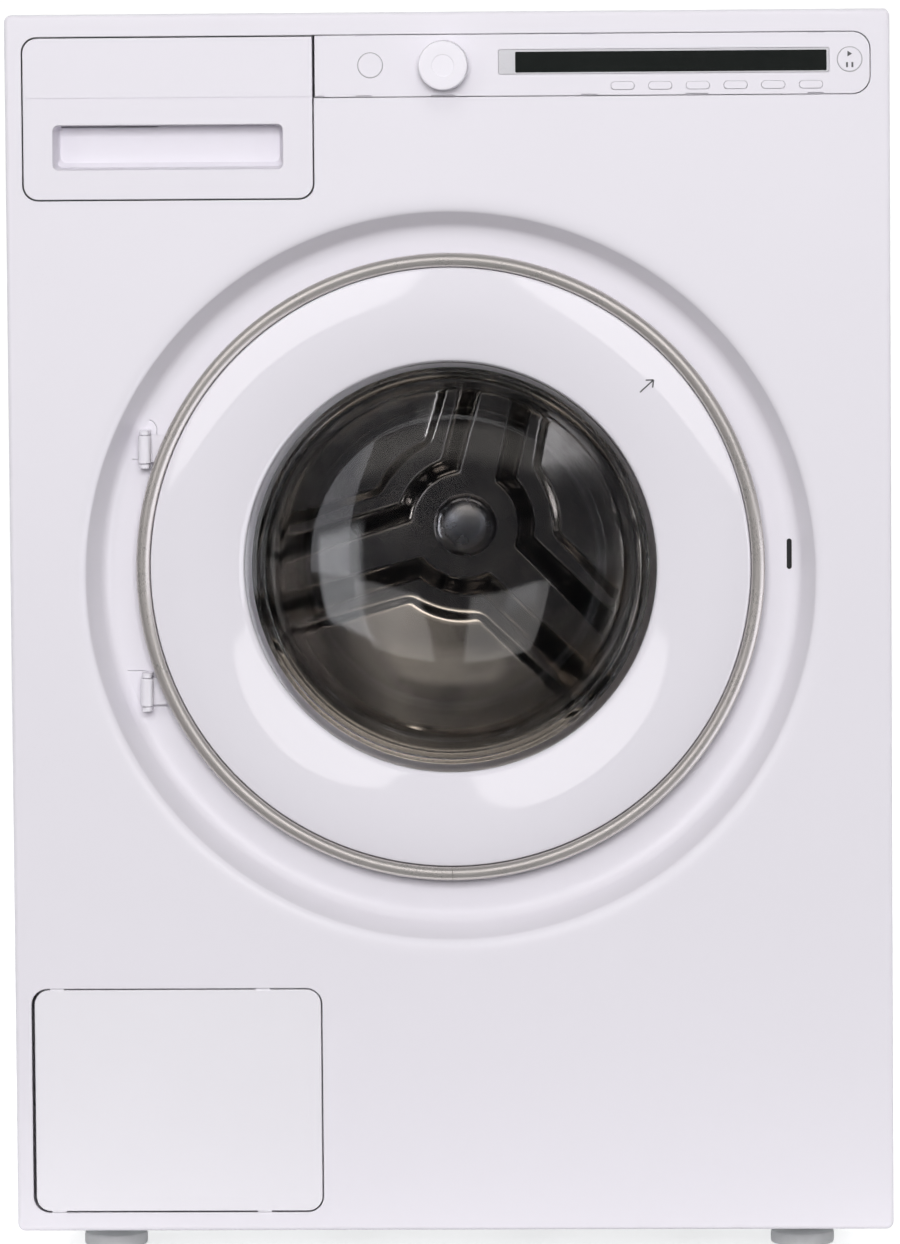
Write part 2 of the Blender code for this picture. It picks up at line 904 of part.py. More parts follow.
def back_cover():
    lap = back_cover_lap
    left = back_opening_left - lap
    right = back_opening_right + lap
    low = back_opening_bottom - lap
    high = back_opening_top + lap
    form = prism(rounded_outline(left, right, low, high, lap), back_y - sheet, back_y)
    made = piece("back_cover", form, zinc())
    pitch = (back_opening_right - back_opening_left) / (back_cover_rib_count + 1)
    for i in range(back_cover_rib_count):
        x = back_opening_left + pitch * (i + 1)
        half = back_cover_rib_width / 2
        shape = rounded_outline(x - half, x + half, back_opening_bottom + lap, back_opening_top - lap,
                                half / 2)
        floor = back_y - sheet - back_cover_rib_height
        join(made, prism(shape, floor, back_y - sheet / 2))
        inner = rounded_outline(x - half + sheet, x + half - sheet, back_opening_bottom + lap + sheet,
                                back_opening_top - lap - sheet, half / 2 - sheet)
        cut(made, prism(inner, floor + sheet, back_y + overrun))
    return made


def worktop():
    front = depth(panel_flange + panel_gap)
    bottom = cabinet_height - worktop_thickness
    edge = worktop_edge_radius
    cross = [(-side_x, bottom), (side_x, bottom)]
    cross += [(side_x - edge + edge * math.cos(math.radians(a)), cabinet_height - edge
               + edge * math.sin(math.radians(a))) for a in (0, 30, 60, 90)]
    cross += [(-x, z) for x, z in reversed(cross[2:])]
    made = piece("worktop", prism(cross, front, back_y), enamel())
    wall = worktop_wall
    cut(made, block(-side_x + wall, side_x - wall, front + wall, back_y - wall, bottom - overrun,
                    cabinet_height - wall - edge / 2))
    return made


def foot_places():
    xs = side_x - foot_side_inset
    front = depth(foot_front_inset)
    rear = back_y - foot_back_inset
    return (("foot_front_left", -xs, front), ("foot_front_right", xs, front),
            ("foot_rear_left", -xs, rear), ("foot_rear_right", xs, rear))


def base_pan():
    half = side_x - sheet - base_clearance
    front = depth(frame_cavity_depth + panel_gap)
    rear = back_y - sheet * 2 - panel_corner_radius
    made = piece("base_pan", block(-half, half, front, rear, base_height, base_height + base_wall_height),
                 zinc())
    thick = base_thickness
    cut(made, block(-half + thick, half - thick, front + thick, rear - thick, base_height + thick,
                    base_height + base_wall_height + overrun))
    for share in base_rib_places:
        rib = base_rib_width / 2
        join(made, block(share - rib, share + rib, front + base_rib_width, rear - base_rib_width,
                         base_height + thick / 2, base_height + base_rib_height))
        cut(made, block(share - rib + thick, share + rib - thick, front + base_rib_width + thick,
                        rear - base_rib_width - thick, base_height - overrun,
                        base_height + base_rib_height - thick))
    for _, x, y in foot_places():
        cut(made, post(x, y, foot_neck_radius + running_gap, base_height - overrun,
                       base_height + thick + overrun, turns_small))
    return made


def foot(name, x, y):
    nut_low = base_height - seat_gap - foot_nut_height
    profile = [(0, 0), (foot_radius - foot_edge, 0), (foot_radius, foot_edge),
               (foot_radius, foot_pad_height - foot_edge), (foot_radius - foot_edge, foot_pad_height),
               (foot_neck_radius, foot_pad_height), (foot_neck_radius, nut_low), (foot_nut_radius, nut_low),
               (foot_nut_radius, nut_low + foot_nut_height), (foot_neck_radius, nut_low + foot_nut_height),
               (foot_neck_radius, foot_top), (0, foot_top)]
    form = turned_profile(profile, (0, 0, 0), turns_small, "Z")
    return piece(name, moved(form, (x, y, 0)), rubber(), (x, y, 0))


def fitting_on_back(name, x, z, radius, bore, reach, plate_radius, look):
    """Round spout with a bore and a flange that lies against the back sheet."""
    outer = back_y + reach
    inside = back_y - sheet * 2 - seat_gap * 2
    profile = [(bore, inside), (radius, inside), (radius, back_y), (plate_radius, back_y),
               (plate_radius, back_y + drain_plate_thickness), (radius, back_y + drain_plate_thickness),
               (radius, outer), (bore, outer)]
    return piece(name, turned_profile(profile, (x, 0, z), turns_small, closed=True), look)


def inlet_valve():
    half = valve_body_size / 2
    rear = back_y - sheet * 2 - seat_gap * 2
    form = block(valve_x - half, valve_x + half, rear - valve_body_depth, rear, valve_height - half,
                 valve_height + half)
    made = piece("inlet_valve", form, grey_plastic())
    end = back_y + valve_stub_length
    join(made, disc(valve_x, valve_height, valve_stub_radius, rear - overrun, end, turns_small))
    cut(made, disc(valve_x, valve_height, valve_bore_radius, rear - valve_body_depth / 2, end + overrun,
                   turns_small))
    return made


def control_fascia():
    """Strip with a thin skin and a wall round its back, cut for the controls."""
    left = drawer_right + drawer_gap / 2
    outline = rounded_outline(left, fascia_right, fascia_bottom, fascia_top, fascia_corner_radius,
                              square=("TL", "BL"))
    made = piece("control_fascia", prism(outline, depth(0), depth(fascia_thickness)), white_plastic())
    wall = fascia_wall
    inner = rounded_outline(left + wall, fascia_right - wall, fascia_bottom + wall, fascia_top - wall,
                            fascia_corner_radius - wall, square=("TL", "BL"))
    cut(made, prism(inner, depth(fascia_skin), depth(fascia_thickness + overrun)))
    front = depth(-overrun)
    back = depth(fascia_skin + overrun)
    display = rounded_outline(display_left, display_right, display_bottom, display_top, display_corner_radius)
    cut(made, prism(display, front, depth(display_sink + display_thickness + seat_gap)))
    for x, z, radius in ((power_x, power_height, power_radius), (start_x, start_height, start_radius)):
        cut(made, disc(x, z, radius + button_gap, front, back, turns_medium))
    cut(made, disc(knob_x, knob_height, knob_stem_radius + running_gap, front, back, turns_small))
    for _, x in option_places():
        cut(made, prism(option_outline(x, button_gap), front, back))
    return made


def option_places():
    return [(f"option_button_{i + 1}", option_first_x + option_pitch * i) for i in range(option_count)]


def option_outline(x, grow):
    half = option_width / 2 + grow
    tall = option_tall / 2 + grow
    return rounded_outline(x - half, x + half, option_height - tall, option_height + tall, tall - seat_gap, 2)


def display_window():
    gap = seat_gap
    outline = rounded_outline(display_left + gap, display_right - gap, display_bottom + gap,
                              display_top - gap,
                              display_corner_radius)
    form = prism(outline, depth(display_sink), depth(display_sink + display_thickness))
    return piece("display_window", form, black_plastic())


def program_knob():
    proud = -knob_proud
    profile = [(0, knob_stem_depth), (knob_stem_radius, knob_stem_depth), (knob_stem_radius, -knob_skirt_gap),
               (knob_radius, -knob_skirt_gap), (knob_radius, proud + knob_edge), (knob_face_radius, proud),
               (knob_inset_radius, proud), (knob_inset_radius, proud + knob_inset_depth),
               (0, proud + knob_inset_depth)]
    form = turned_profile([(r, depth(d)) for r, d in profile], (knob_x, 0, knob_height), turns_medium)
    return piece("program_knob", form, white_plastic(), (knob_x, depth(0), knob_height))


def round_button(name, x, z, radius):
    flange = radius + button_flange
    seat = fascia_skin + seat_gap
    profile = [(0, -button_proud), (radius, -button_proud), (radius, seat), (flange, seat),
               (flange, seat + button_flange_thickness), (radius, seat + button_flange_thickness),
               (radius, button_length), (0, button_length)]
    form = turned_profile([(r, depth(d)) for r, d in profile], (x, 0, z), turns_medium)
    return piece(name, form, white_plastic(), (x, depth(0), z))


def option_button(name, x):
    seat = fascia_skin + seat_gap
    made = piece(name, prism(option_outline(x, 0), depth(-button_proud), depth(button_length)),
                 white_plastic(),
                 (x, depth(0), option_height))
    flange = prism(option_outline(x, button_flange), depth(seat), depth(seat + button_flange_thickness))
    return join(made, flange)


def drawer_front(parent):
    """Moulded front: a skin, a wall round it, and a deep grip recess with a sloping floor."""
    outline = rounded_outline(drawer_left, drawer_right, drawer_bottom, drawer_top, drawer_corner_radius,
                              square=("TR",))
    end = drawer_front_thickness
    made = piece("drawer_front", prism(outline, depth(0), depth(end)), white_plastic(), parent=parent)
    grip = rounded_outline(handle_left, handle_right, handle_bottom, handle_top, handle_corner_radius)
    hollow = prism(grip, depth(-overrun), depth(handle_depth))
    lip = handle_corner_radius
    for corner in hollow.verts:
        if corner.co.y > depth(0) and corner.co.z < (handle_bottom + handle_top) / 2:
            corner.co.y -= handle_depth / 2
            corner.co.z += lip
    cut(made, hollow)
    wall = fascia_skin
    for low, high in ((drawer_bottom + wall, handle_bottom - wall), (handle_top + wall, drawer_top - wall)):
        pocket = rounded_outline(drawer_left + wall, drawer_right - wall, low, high, lip)
        cut(made, prism(pocket, depth(wall), depth(end + overrun)))
    seam = drawer_seam_width / 2
    cut(made, block(drawer_left - overrun, drawer_right + overrun, depth(-overrun), depth(drawer_seam_depth),
                    drawer_seam_height - seam, drawer_seam_height + seam))
    return made


def tray_sides():
    return drawer_left + tray_side_gap, drawer_right - tray_side_gap


def drawer_tray(parent):
    left, right = tray_sides()
    front = depth(drawer_front_thickness + seat_gap)
    rear = front + tray_depth
    made = piece("drawer_tray", block(left, right, front, rear, tray_bottom, tray_top), grey_plastic(),
                 parent=parent)
    edges = [left] + [left + share * (right - left) for share in tray_divider_shares] + [right]
    wall = tray_wall
    for here, there in zip(edges, edges[1:]):
        cut(made, block(here + wall, there - wall / 2, front + wall, rear - wall, tray_bottom + wall,
                        tray_top + overrun))
    return made


def drawer_housing():
    left, right = tray_sides()
    gap = housing_gap
    wall = housing_wall
    front = depth(drawer_front_thickness + panel_gap)
    rear = depth(drawer_front_thickness) + tray_depth + gap * 2
    outer = block(left - gap - wall, right + gap + wall, front, rear + wall, tray_bottom - seat_gap - wall,
                  tray_top + gap + housing_roof)
    made = piece("drawer_housing", outer, grey_plastic())
    hang_drawer_housing(made)
    cut(made, block(left - gap, right + gap, front - overrun, rear, tray_bottom - seat_gap, tray_top + gap))
    return made




def hang_drawer_housing(housing):
    """Collar round the drawer's front that fixes the housing to the back of the front panel."""
    gap = drawer_gap + running_gap
    wall = housing_wall
    start = depth(sheet + seat_gap)
    end = depth(drawer_front_thickness + panel_gap)
    top = cabinet_height - worktop_thickness - seat_gap
    join(housing, block(drawer_left - gap - wall, drawer_right + gap + wall, start, end + wall,
                        drawer_bottom - gap - wall, top))
    cut(housing, block(drawer_left - gap, drawer_right + gap, start - overrun, end, drawer_bottom - gap,
                       top + overrun))
    cut(housing, block(drawer_right, drawer_right + overrun * 2, start - overrun,
                       depth(fascia_thickness + running_gap), fascia_bottom - running_gap, top + overrun))


def service_hatch(parent):
    outline = rounded_outline(hatch_left, hatch_right, hatch_bottom, hatch_top, hatch_corner_radius)
    made = piece("service_hatch", prism(outline, depth(0), depth(hatch_thickness)), enamel(), parent=parent)
    half = hatch_lug_width / 2
    start = hatch_thickness / 2
    end = hatch_hinge_depth + hatch_pin_radius + fascia_wall
    reach = hatch_hinge_depth
    for low, high in hatch_lugs():
        join(made, block(hatch_hinge_x - half, hatch_hinge_x + half, depth(start), depth(end), low, high))
        catch = hatch_catch_thickness
        join(made, block(hatch_catch_x - half, hatch_catch_x + half, depth(start),
                         depth(hatch_thickness + hatch_catch_reach), (low + high) / 2,
                         (low + high) / 2 + catch))
    for low, high in hatch_lugs():
        cut(made, post(hatch_hinge_x, depth(reach), hatch_pin_radius + seat_gap, low - overrun / 4,
                       high + overrun / 4, turns_tiny))
    mark = hatch_mark_width / 2
    cut(made, block(hatch_mark_x - mark, hatch_mark_x + mark, depth(-overrun), depth(hatch_mark_depth),
                    hatch_mark_height - hatch_mark_length / 2, hatch_mark_height + hatch_mark_length / 2))
    return made


def hatch_lugs():
    inset = hatch_lug_inset
    tall = hatch_lug_height
    return ((hatch_bottom + inset, hatch_bottom + inset + tall), (hatch_top - inset - tall,
                                                                  hatch_top - inset))


def hatch_frame():
    """Moulded box behind the hatch opening, with the hatch's pins and a hole for the filter."""
    clear = frame_side_clearance
    gap = hatch_gap
    outer = rounded_outline(hatch_left - gap - clear + frame_wall, hatch_right + gap + clear,
                            hatch_bottom - gap - clear, hatch_top + gap + clear, hatch_corner_radius)
    front = sheet + seat_gap
    made = piece("hatch_frame", prism(outer, depth(front), depth(frame_cavity_depth)), white_plastic())
    back = frame_cavity_depth - frame_wall
    cut(made, prism(hatch_opening(), depth(-overrun), depth(back)))
    cut(made, disc(filter_x, filter_height, filter_neck_radius + panel_gap, depth(back - overrun),
                   depth(frame_cavity_depth + overrun), turns_medium))
    low_lug, high_lug = hatch_lugs()
    pins = ((hatch_bottom - gap - frame_wall, low_lug[1] - hatch_lug_inset),
            (high_lug[0] + hatch_lug_inset, hatch_top + gap + frame_wall))
    for low, high in pins:
        join(made, post(hatch_hinge_x, depth(hatch_hinge_depth), hatch_pin_radius, low, high, turns_tiny))
    return made


def pump_filter(parent):
    sit = filter_sit_depth
    cap_end = sit + filter_cap_thickness
    profile = [(0, sit), (filter_radius - fascia_wall, sit), (filter_radius, sit + fascia_wall),
               (filter_radius, cap_end), (filter_neck_radius, cap_end), (filter_neck_radius,
                                                                         filter_neck_depth),
               (filter_cage_radius, filter_neck_depth), (filter_cage_radius,
                                                         pump_end_depth() - filter_grip_depth),
               (0, pump_end_depth() - filter_grip_depth)]
    centre = (filter_x, 0, filter_height)
    made = piece("pump_filter", turned_profile([(r, depth(d)) for r, d in profile], centre, turns_medium),
                 grey_plastic(), (filter_x, depth(0), filter_height), parent)
    half = filter_grip_width / 2
    reach = filter_radius - fascia_wall * 2
    grip = rounded_outline(filter_x - reach, filter_x + reach, filter_height - half, filter_height + half,
                           half - seat_gap)
    join(made, prism(grip, depth(sit - filter_grip_depth), depth(sit + fascia_wall)))
    window = filter_cage_radius / 2
    low = depth(filter_neck_depth + fascia_wall)
    high = depth(pump_end_depth() - filter_grip_depth - fascia_wall)
    cut(made, block(filter_x - window, filter_x + window, low, high, filter_height - filter_radius,
                    filter_height + filter_radius))
    return made


def pump_end_depth():
    return frame_cavity_depth + seat_gap + pump_depth


def drain_pump():
    """Pump bowl round the filter, its motor behind it, an inlet on top and a foot to the base."""
    centre = (filter_x, 0, filter_height)
    front = frame_cavity_depth + seat_gap
    end = pump_end_depth()
    bore = filter_neck_radius + pump_bore_gap
    motor_end = end + pump_motor_length
    profile = [(bore, front), (pump_radius, front), (pump_radius, end), (pump_motor_radius, end),
               (pump_motor_radius, motor_end), (0, motor_end), (0, end - filter_grip_width), (bore,
                                                                                              end - filter_grip_width)]
    form = turned_profile([(r, depth(d)) for r, d in profile], centre, turns_medium, closed=True)
    made = piece("drain_pump", form, grey_plastic())
    y = hose_y()
    join(made, post(filter_x, y, pump_inlet_radius, filter_height + bore + fascia_wall, pump_inlet_height,
                    turns_small))
    cut(made, post(filter_x, y, pump_inlet_radius - hose_wall, filter_height, pump_inlet_height + overrun,
                   turns_small))
    low = base_height + base_thickness + seat_gap
    join(made, block(filter_x - pump_inlet_radius, filter_x + pump_inlet_radius, y - pump_inlet_radius,
                     y + pump_inlet_radius, low, filter_height - bore - fascia_wall))
    return made


def hose_y():
    return depth(frame_cavity_depth + seat_gap + pump_depth / 2)


def damper_places():
    return (("front_left", -damper_x, depth(damper_front_depth)), ("front_right", damper_x,
                                                                   depth(damper_front_depth)),
            ("rear_left", -damper_x, depth(damper_back_depth)), ("rear_right", damper_x,
                                                                 depth(damper_back_depth)))


def damper_top():
    return base_height + base_thickness + seat_gap + damper_foot_height + damper_body_height


def damper_cylinder(name, x, y):
    low = base_height + base_thickness + seat_gap
    foot_top_z = low + damper_foot_height
    top = damper_top()
    bore = damper_rod_radius + running_gap
    floor = top - damper_rod_dip - running_gap
    profile = [(0, low), (damper_foot_radius, low), (damper_foot_radius, foot_top_z),
               (damper_body_radius, foot_top_z), (damper_body_radius, top), (bore, top),
               (bore, floor - tub_travel_down), (0, floor - tub_travel_down)]
    form = turned_profile(profile, (0, 0, 0), turns_small, "Z")
    return piece(name, moved(form, (x, y, 0)), black_plastic(), (x, y, 0))


def lug_height():
    """Underside of the tub's damper lugs."""
    inner = damper_x - damper_lug_width / 2
    return door_height - math.sqrt(tub_radius ** 2 - inner ** 2) - overrun


def damper_rod(name, x, y, parent):
    low = damper_top() - damper_rod_dip
    form = post(x, y, damper_rod_radius, low, lug_height() - seat_gap, turns_small)
    return piece(name, form, zinc(), (x, y, low), parent)


def tub_shell(parent):
    """Rolled tub with its stepped back, bearing hub, damper lugs, motor lugs and sump."""
    start = tub_front_depth + seat_gap - sheet / 2
    wall = tub_wall
    back = tub_back_depth
    bore = shaft_radius + shaft_gap
    outer = [(tub_radius + tub_flange_height, start), (tub_radius + tub_flange_height, start + wall),
             (tub_radius, start + wall), (tub_radius, back - tub_flange_height),
             (tub_radius - tub_flange_height, back), (hub_web_radius, hub_web_depth),
             (hub_radius, hub_web_depth + wall), (hub_radius * hub_taper_share, hub_back_depth), (bore,
                                                                                                  hub_back_depth)]
    inner = [(bore, hub_web_depth), (hub_web_radius - wall, hub_web_depth - wall),
             (tub_radius - tub_flange_height, back - wall), (tub_radius - wall,
                                                             back - tub_flange_height - wall),
             (tub_radius - wall, start)]
    form = turned_profile([(r, depth(d)) for r, d in outer + inner], (0, 0, door_height), turns_drum,
                          closed=True)
    made = piece("tub_shell", form, grey_plastic(), parent=parent)
    skin = wall / 10
    clearing = disc(0, door_height, tub_radius - wall - skin, depth(start - overrun),
                    depth(back - tub_flange_height * 2), turns_drum)
    lug_low = lug_height()
    half_width = damper_lug_width / 2
    half_length = damper_lug_length / 2
    for _, x, y in damper_places():
        top = door_height - math.sqrt(tub_radius ** 2 - x ** 2) + half_width
        join(made, block(x - half_width, x + half_width, y - half_length, y + half_length, lug_low, top))
    hanger = motor_hanger_width / 2
    top = door_height - math.sqrt(tub_radius ** 2 - motor_x ** 2) + motor_hanger_thickness
    for d in (motor_front_depth + hanger, tub_back_depth - hanger * 2):
        join(made, block(motor_x - hanger, motor_x + hanger, depth(d), depth(d + motor_hanger_thickness),
                         motor_height + motor_radius + seat_gap, top))
    sump = sump_outline(0)
    join(made, prism(sump, depth(tub_front_depth + overrun), depth(sump_end_depth())))
    join(made, post(filter_x, hose_y(), pump_inlet_radius, spigot_low(), sump_bottom + overrun, turns_small))
    cut(made, prism(sump_outline(wall), depth(tub_front_depth + overrun + wall),
                    depth(sump_end_depth() - wall)))
    cut(made, clearing)
    cut(made, post(filter_x, hose_y(), pump_inlet_radius - hose_wall, spigot_low() - overrun,
                   sump_bottom + overrun, turns_small))
    return made


def sump_end_depth():
    return tub_front_depth + sump_radius * 2


def spigot_low():
    return sump_bottom - hose_rib * 3


def sump_outline(inset):
    """Front view of the sump, low at its left end over the pump."""
    left = filter_x - sump_radius + inset
    right = filter_x + sump_radius
    far = 0.0 + sump_radius
    low = sump_bottom + inset
    reach = tub_radius - tub_wall / 2 + inset * 2
    top_left = door_height - math.sqrt(reach ** 2 - left ** 2)
    top_right = door_height - math.sqrt(reach ** 2 - far ** 2)
    middle = (left + far) / 2
    top_middle = door_height - math.sqrt(reach ** 2 - middle ** 2)
    return [(left, low), (right, low), (far, top_right - tub_wall + inset), (far, top_right), (middle,
                                                                                               top_middle),
            (left, top_left)]


def tub_front(parent):
    """Front plate of the tub with the steel collar that the door's seal lies on."""
    thick = tub_wall
    plate = tub_front_depth - sheet / 2
    inner = collar_radius
    outer = collar_radius + collar_wall
    profile = [(inner, collar_back_depth), (inner, collar_depth), (collar_flange_radius, collar_depth),
               (collar_flange_radius, collar_depth + collar_wall), (outer, collar_depth + collar_wall),
               (outer, plate - thick), (tub_radius + tub_flange_height, plate - thick),
               (tub_radius + tub_flange_height, plate), (outer, plate), (outer, collar_back_depth)]
    form = turned_profile([(r, depth(d)) for r, d in profile], (0, 0, door_height), turns_drum, closed=True)
    made = piece("tub_front", form, grey_plastic(), parent=parent)
    for x in (-heater_spread, heater_spread):
        cut(made, disc(x, heater_height(), heater_radius + running_gap, depth(plate - thick - overrun / 2),
                       depth(plate + overrun), turns_tiny))
    return made


def heater_height():
    return door_height - math.sqrt(heater_ring_radius ** 2 - heater_spread ** 2)


def heating_element(parent):
    """U-shaped tube in the foot of the tub with its plug outside the front plate."""
    plate = tub_front_depth - sheet / 2 - tub_wall - seat_gap
    bend = depth(plate + heater_length)
    form = bmesh.new()
    rings = []
    path = [(-heater_spread, depth(plate - heater_flange_thickness / 2)), (-heater_spread, bend)]
    path += [(heater_spread * u, bend + heater_spread * v) for u, v in arc(0, 0, 1, 150, 30, 4)]
    path += [(heater_spread, bend), (heater_spread, depth(plate - heater_flange_thickness / 2))]
    for i, (x, y) in enumerate(path):
        before = path[max(i - 1, 0)]
        after = path[min(i + 1, len(path) - 1)]
        along = Vector((after[0] - before[0], after[1] - before[1], 0)).normalized()
        side = Vector((-along.y, along.x, 0))
        ring = []
        for k in range(turns_tiny):
            a = math.tau * k / turns_tiny
            offset = side * math.cos(a) * heater_radius + Vector((0, 0, math.sin(a) * heater_radius))
            ring.append(form.verts.new((x + offset.x, y + offset.y, heater_height() + offset.z)))
        rings.append(ring)
    for here, there in zip(rings, rings[1:]):
        for k in range(turns_tiny):
            m = (k + 1) % turns_tiny
            form.faces.new((here[k], here[m], there[m], there[k]))
    form.faces.new(rings[0])
    form.faces.new(reversed(rings[-1]))
    made = piece("heating_element", form, zinc(), parent=parent)
    wide = heater_flange_width / 2
    tall = heater_flange_height / 2
    z = heater_height()
    join(made, block(-wide, wide, depth(plate - heater_flange_thickness), depth(plate), z - tall, z + tall))
    return made


def front_counterweight(parent):
    open_half = math.radians(weight_open_angle / 2)
    back = tub_front_depth - sheet / 2 - tub_wall - seat_gap
    inner = weight_inner_radius
    outer = weight_outer_radius
    edge = damper_wall
    profile = [(inner, back), (inner, weight_front_depth + edge), (inner + edge, weight_front_depth),
               (outer - edge, weight_front_depth), (outer, weight_front_depth + edge), (outer, back)]
    form = turned_profile([(r, depth(d)) for r, d in profile], (0, 0, door_height), turns_medium, closed=True,
                          start=open_half, sweep=math.tau - 2 * open_half)
    made = piece("front_counterweight", form, ballast(), parent=parent)
    half = heater_flange_width / 2 + running_gap * 2
    tall = heater_flange_height
    z = heater_height()
    cut(made, block(-half, half, depth(back - heater_flange_thickness * 2), depth(back + overrun), z - tall,
                    z + tall))
    return made


def motor(parent):
    front = motor_front_depth
    end = front + motor_length
    nose = motor_end_length
    bore = motor_shaft_radius + running_gap
    profile = [(0, front - nose), (motor_end_radius, front - nose), (motor_end_radius, front),
               (motor_radius, front),
               (motor_radius, end), (motor_end_radius, end), (motor_end_radius, end + nose), (bore,
                                                                                              end + nose),
               (bore, end - nose), (0, end - nose)]
    form = turned_profile([(r, depth(d)) for r, d in profile], (motor_x, 0, motor_height), turns_medium)
    return piece("motor", form, cast(), parent=parent)


def belt_depths():
    middle = pulley_depth + pulley_width / 2
    return depth(middle - belt_width / 2), depth(middle + belt_width / 2)


def belt_line(extra):
    """Loop round the large and the small pulley at the same distance from both."""
    large = pulley_radius + extra
    small = motor_pulley_radius + extra
    gap = Vector((motor_x, motor_height - door_height))
    lean = math.acos((large - small) / gap.length)
    facing = math.atan2(gap.y, gap.x)
    points = []
    around = math.tau - 2 * lean
    for i in range(turns_drum + 1):
        a = facing + lean + around * i / turns_drum
        points.append((large * math.cos(a), door_height + large * math.sin(a)))
    for i in range(turns_tiny + 1):
        a = facing - lean + 2 * lean * i / turns_tiny
        points.append((motor_x + small * math.cos(a), motor_height + small * math.sin(a)))
    return points


def drive_belt(parent):
    low, high = belt_depths()
    inner = belt_line(belt_gap)
    outer = belt_line(belt_gap + belt_thickness)
    form = bmesh.new()
    loops = [[form.verts.new((x, y, z)) for x, z in line] for line, y in
             ((inner, low), (outer, low), (outer, high), (inner, high))]
    count = len(inner)
    for k in range(4):
        here = loops[k]
        there = loops[(k + 1) % 4]
        for i in range(count):
            j = (i + 1) % count
            form.faces.new((here[i], here[j], there[j], there[i]))
    return piece("drive_belt", form, rubber(), parent=parent)


def star_form(inset):
    """Three-armed form about the drum's axis, narrower in front; the inset one is the hollow behind it."""
    points = []
    for arm in range(lifter_count):
        a = math.radians(drum_turn) + math.tau * arm / lifter_count
        along = Vector((math.cos(a), math.sin(a)))
        side = Vector((-along.y, along.x))
        reach = star_arm_length - inset
        root = star_arm_width / 2 - inset
        tip = star_arm_tip_width / 2 - inset
        for out, half in ((star_hub_radius, -root), (reach, -tip), (reach, tip), (star_hub_radius, root)):
            point = along * out + side * half
            points.append((point.x, door_height + point.y))
    front = drum_back_depth - star_height + inset
    rear = drum_back_depth + (overrun if inset else -drum_back_wall / 2)
    form = prism(points, depth(front), depth(rear))
    for corner in form.verts:
        if corner.co.y < depth(drum_back_depth - drum_back_wall):
            out = Vector((corner.co.x, corner.co.z - door_height))
            out *= 1 - star_height / out.length
            corner.co.x = out.x
            corner.co.z = door_height + out.y
    return form


def drum_shell(parent):
    """Rolled drum with its rounded mouth, and a back pressed forward into three arms and a hub."""
    wall = drum_wall
    lip = drum_lip_radius
    front = drum_front_depth
    back = drum_back_depth
    curl = front + drum_lip_reach + lip
    mouth = [(drum_mouth_radius, curl)]
    mouth += [(drum_mouth_radius + lip - lip * math.cos(math.radians(a)),
               front + lip - lip * math.sin(math.radians(a))) for a in (0, 30, 60, 90)]
    line = mouth + [(drum_radius - lip, front + lip / 2), (drum_radius, front + 2 * lip),
                    (drum_radius, back - lip), (drum_radius - lip, back), (0, back)]
    inner = [(0, back - drum_back_wall), (drum_radius - lip - wall / 2, back - drum_back_wall),
             (drum_radius - wall, back - lip - wall / 2), (drum_radius - wall, front + 2 * lip + wall),
             (drum_radius - lip - wall, front + lip / 2 + wall), (drum_mouth_radius + lip + wall,
                                                                  front + wall),
             (drum_mouth_radius + wall, front + lip + wall), (drum_mouth_radius + wall, curl)]
    form = turned_profile([(r, depth(d)) for r, d in line + inner], (0, 0, door_height), turns_drum,
                          closed=True)
    made = piece("drum_shell", form, stainless(), (0, depth(back), door_height), parent)
    join(made, star_form(0))
    cap = back - star_height - drum_cap_height
    foot = back - star_height + drum_back_wall
    dome = [(0, cap)]
    dome += [(drum_cap_radius * out, cap + drum_cap_height * down) for out, down in drum_cap_shares]
    dome += [(drum_cap_radius, foot), (0, foot)]
    join(made, turned_profile([(r, depth(d)) for r, d in dome], (0, 0, door_height), turns_small))
    cut(made, star_form(drum_back_wall))
    return made


def lifter_outline(turn, height, inset):
    """Hill-shaped section whose foot lies on the drum's wall; the inset one is open at its foot."""
    base = (drum_radius - drum_wall) * math.cos(math.pi / turns_drum) - seat_gap
    foot = base + overrun if inset else base
    half = math.asin((lifter_width / 2 - inset) / base)
    points = []
    steps = 4
    for i in range(steps + 1):
        a = turn - half + 2 * half * i / steps
        points.append((foot * math.cos(a), door_height + foot * math.sin(a)))
    steps = 10
    for i in range(1, steps):
        side = 1 - 2 * i / steps
        a = turn + half * side
        reach = base - (height - inset) * math.cos(math.pi * side / 2) ** 1.5
        points.append((reach * math.cos(a), door_height + reach * math.sin(a)))
    return points


def lifter_form(turn, inset):
    """Loft through the lifter's sections, lower towards the drum's mouth and its back."""
    first = drum_front_depth + lifter_margin + inset
    last = drum_back_depth - lifter_margin - inset
    ramp = lifter_height / 2
    places = (first, first + ramp, (first + last) / 2, last - ramp, last)
    form = bmesh.new()
    loops = []
    for d, share in zip(places, lifter_height_shares):
        outline = lifter_outline(turn, lifter_height * share, inset)
        loops.append([form.verts.new((x, depth(d), z)) for x, z in outline])
    for here, there in zip(loops, loops[1:]):
        for i in range(len(here)):
            j = (i + 1) % len(here)
            form.faces.new((here[i], here[j], there[j], there[i]))
    form.faces.new(loops[0])
    form.faces.new(reversed(loops[-1]))
    bmesh.ops.recalc_face_normals(form, faces=form.faces)
    return form


def drum_lifter(name, turn, parent):
    """Hollow paddle, open where it lies on the drum."""
    made = piece(name, lifter_form(turn, 0), stainless(), parent=parent)
    cut(made, lifter_form(turn, lifter_wall))
    return made


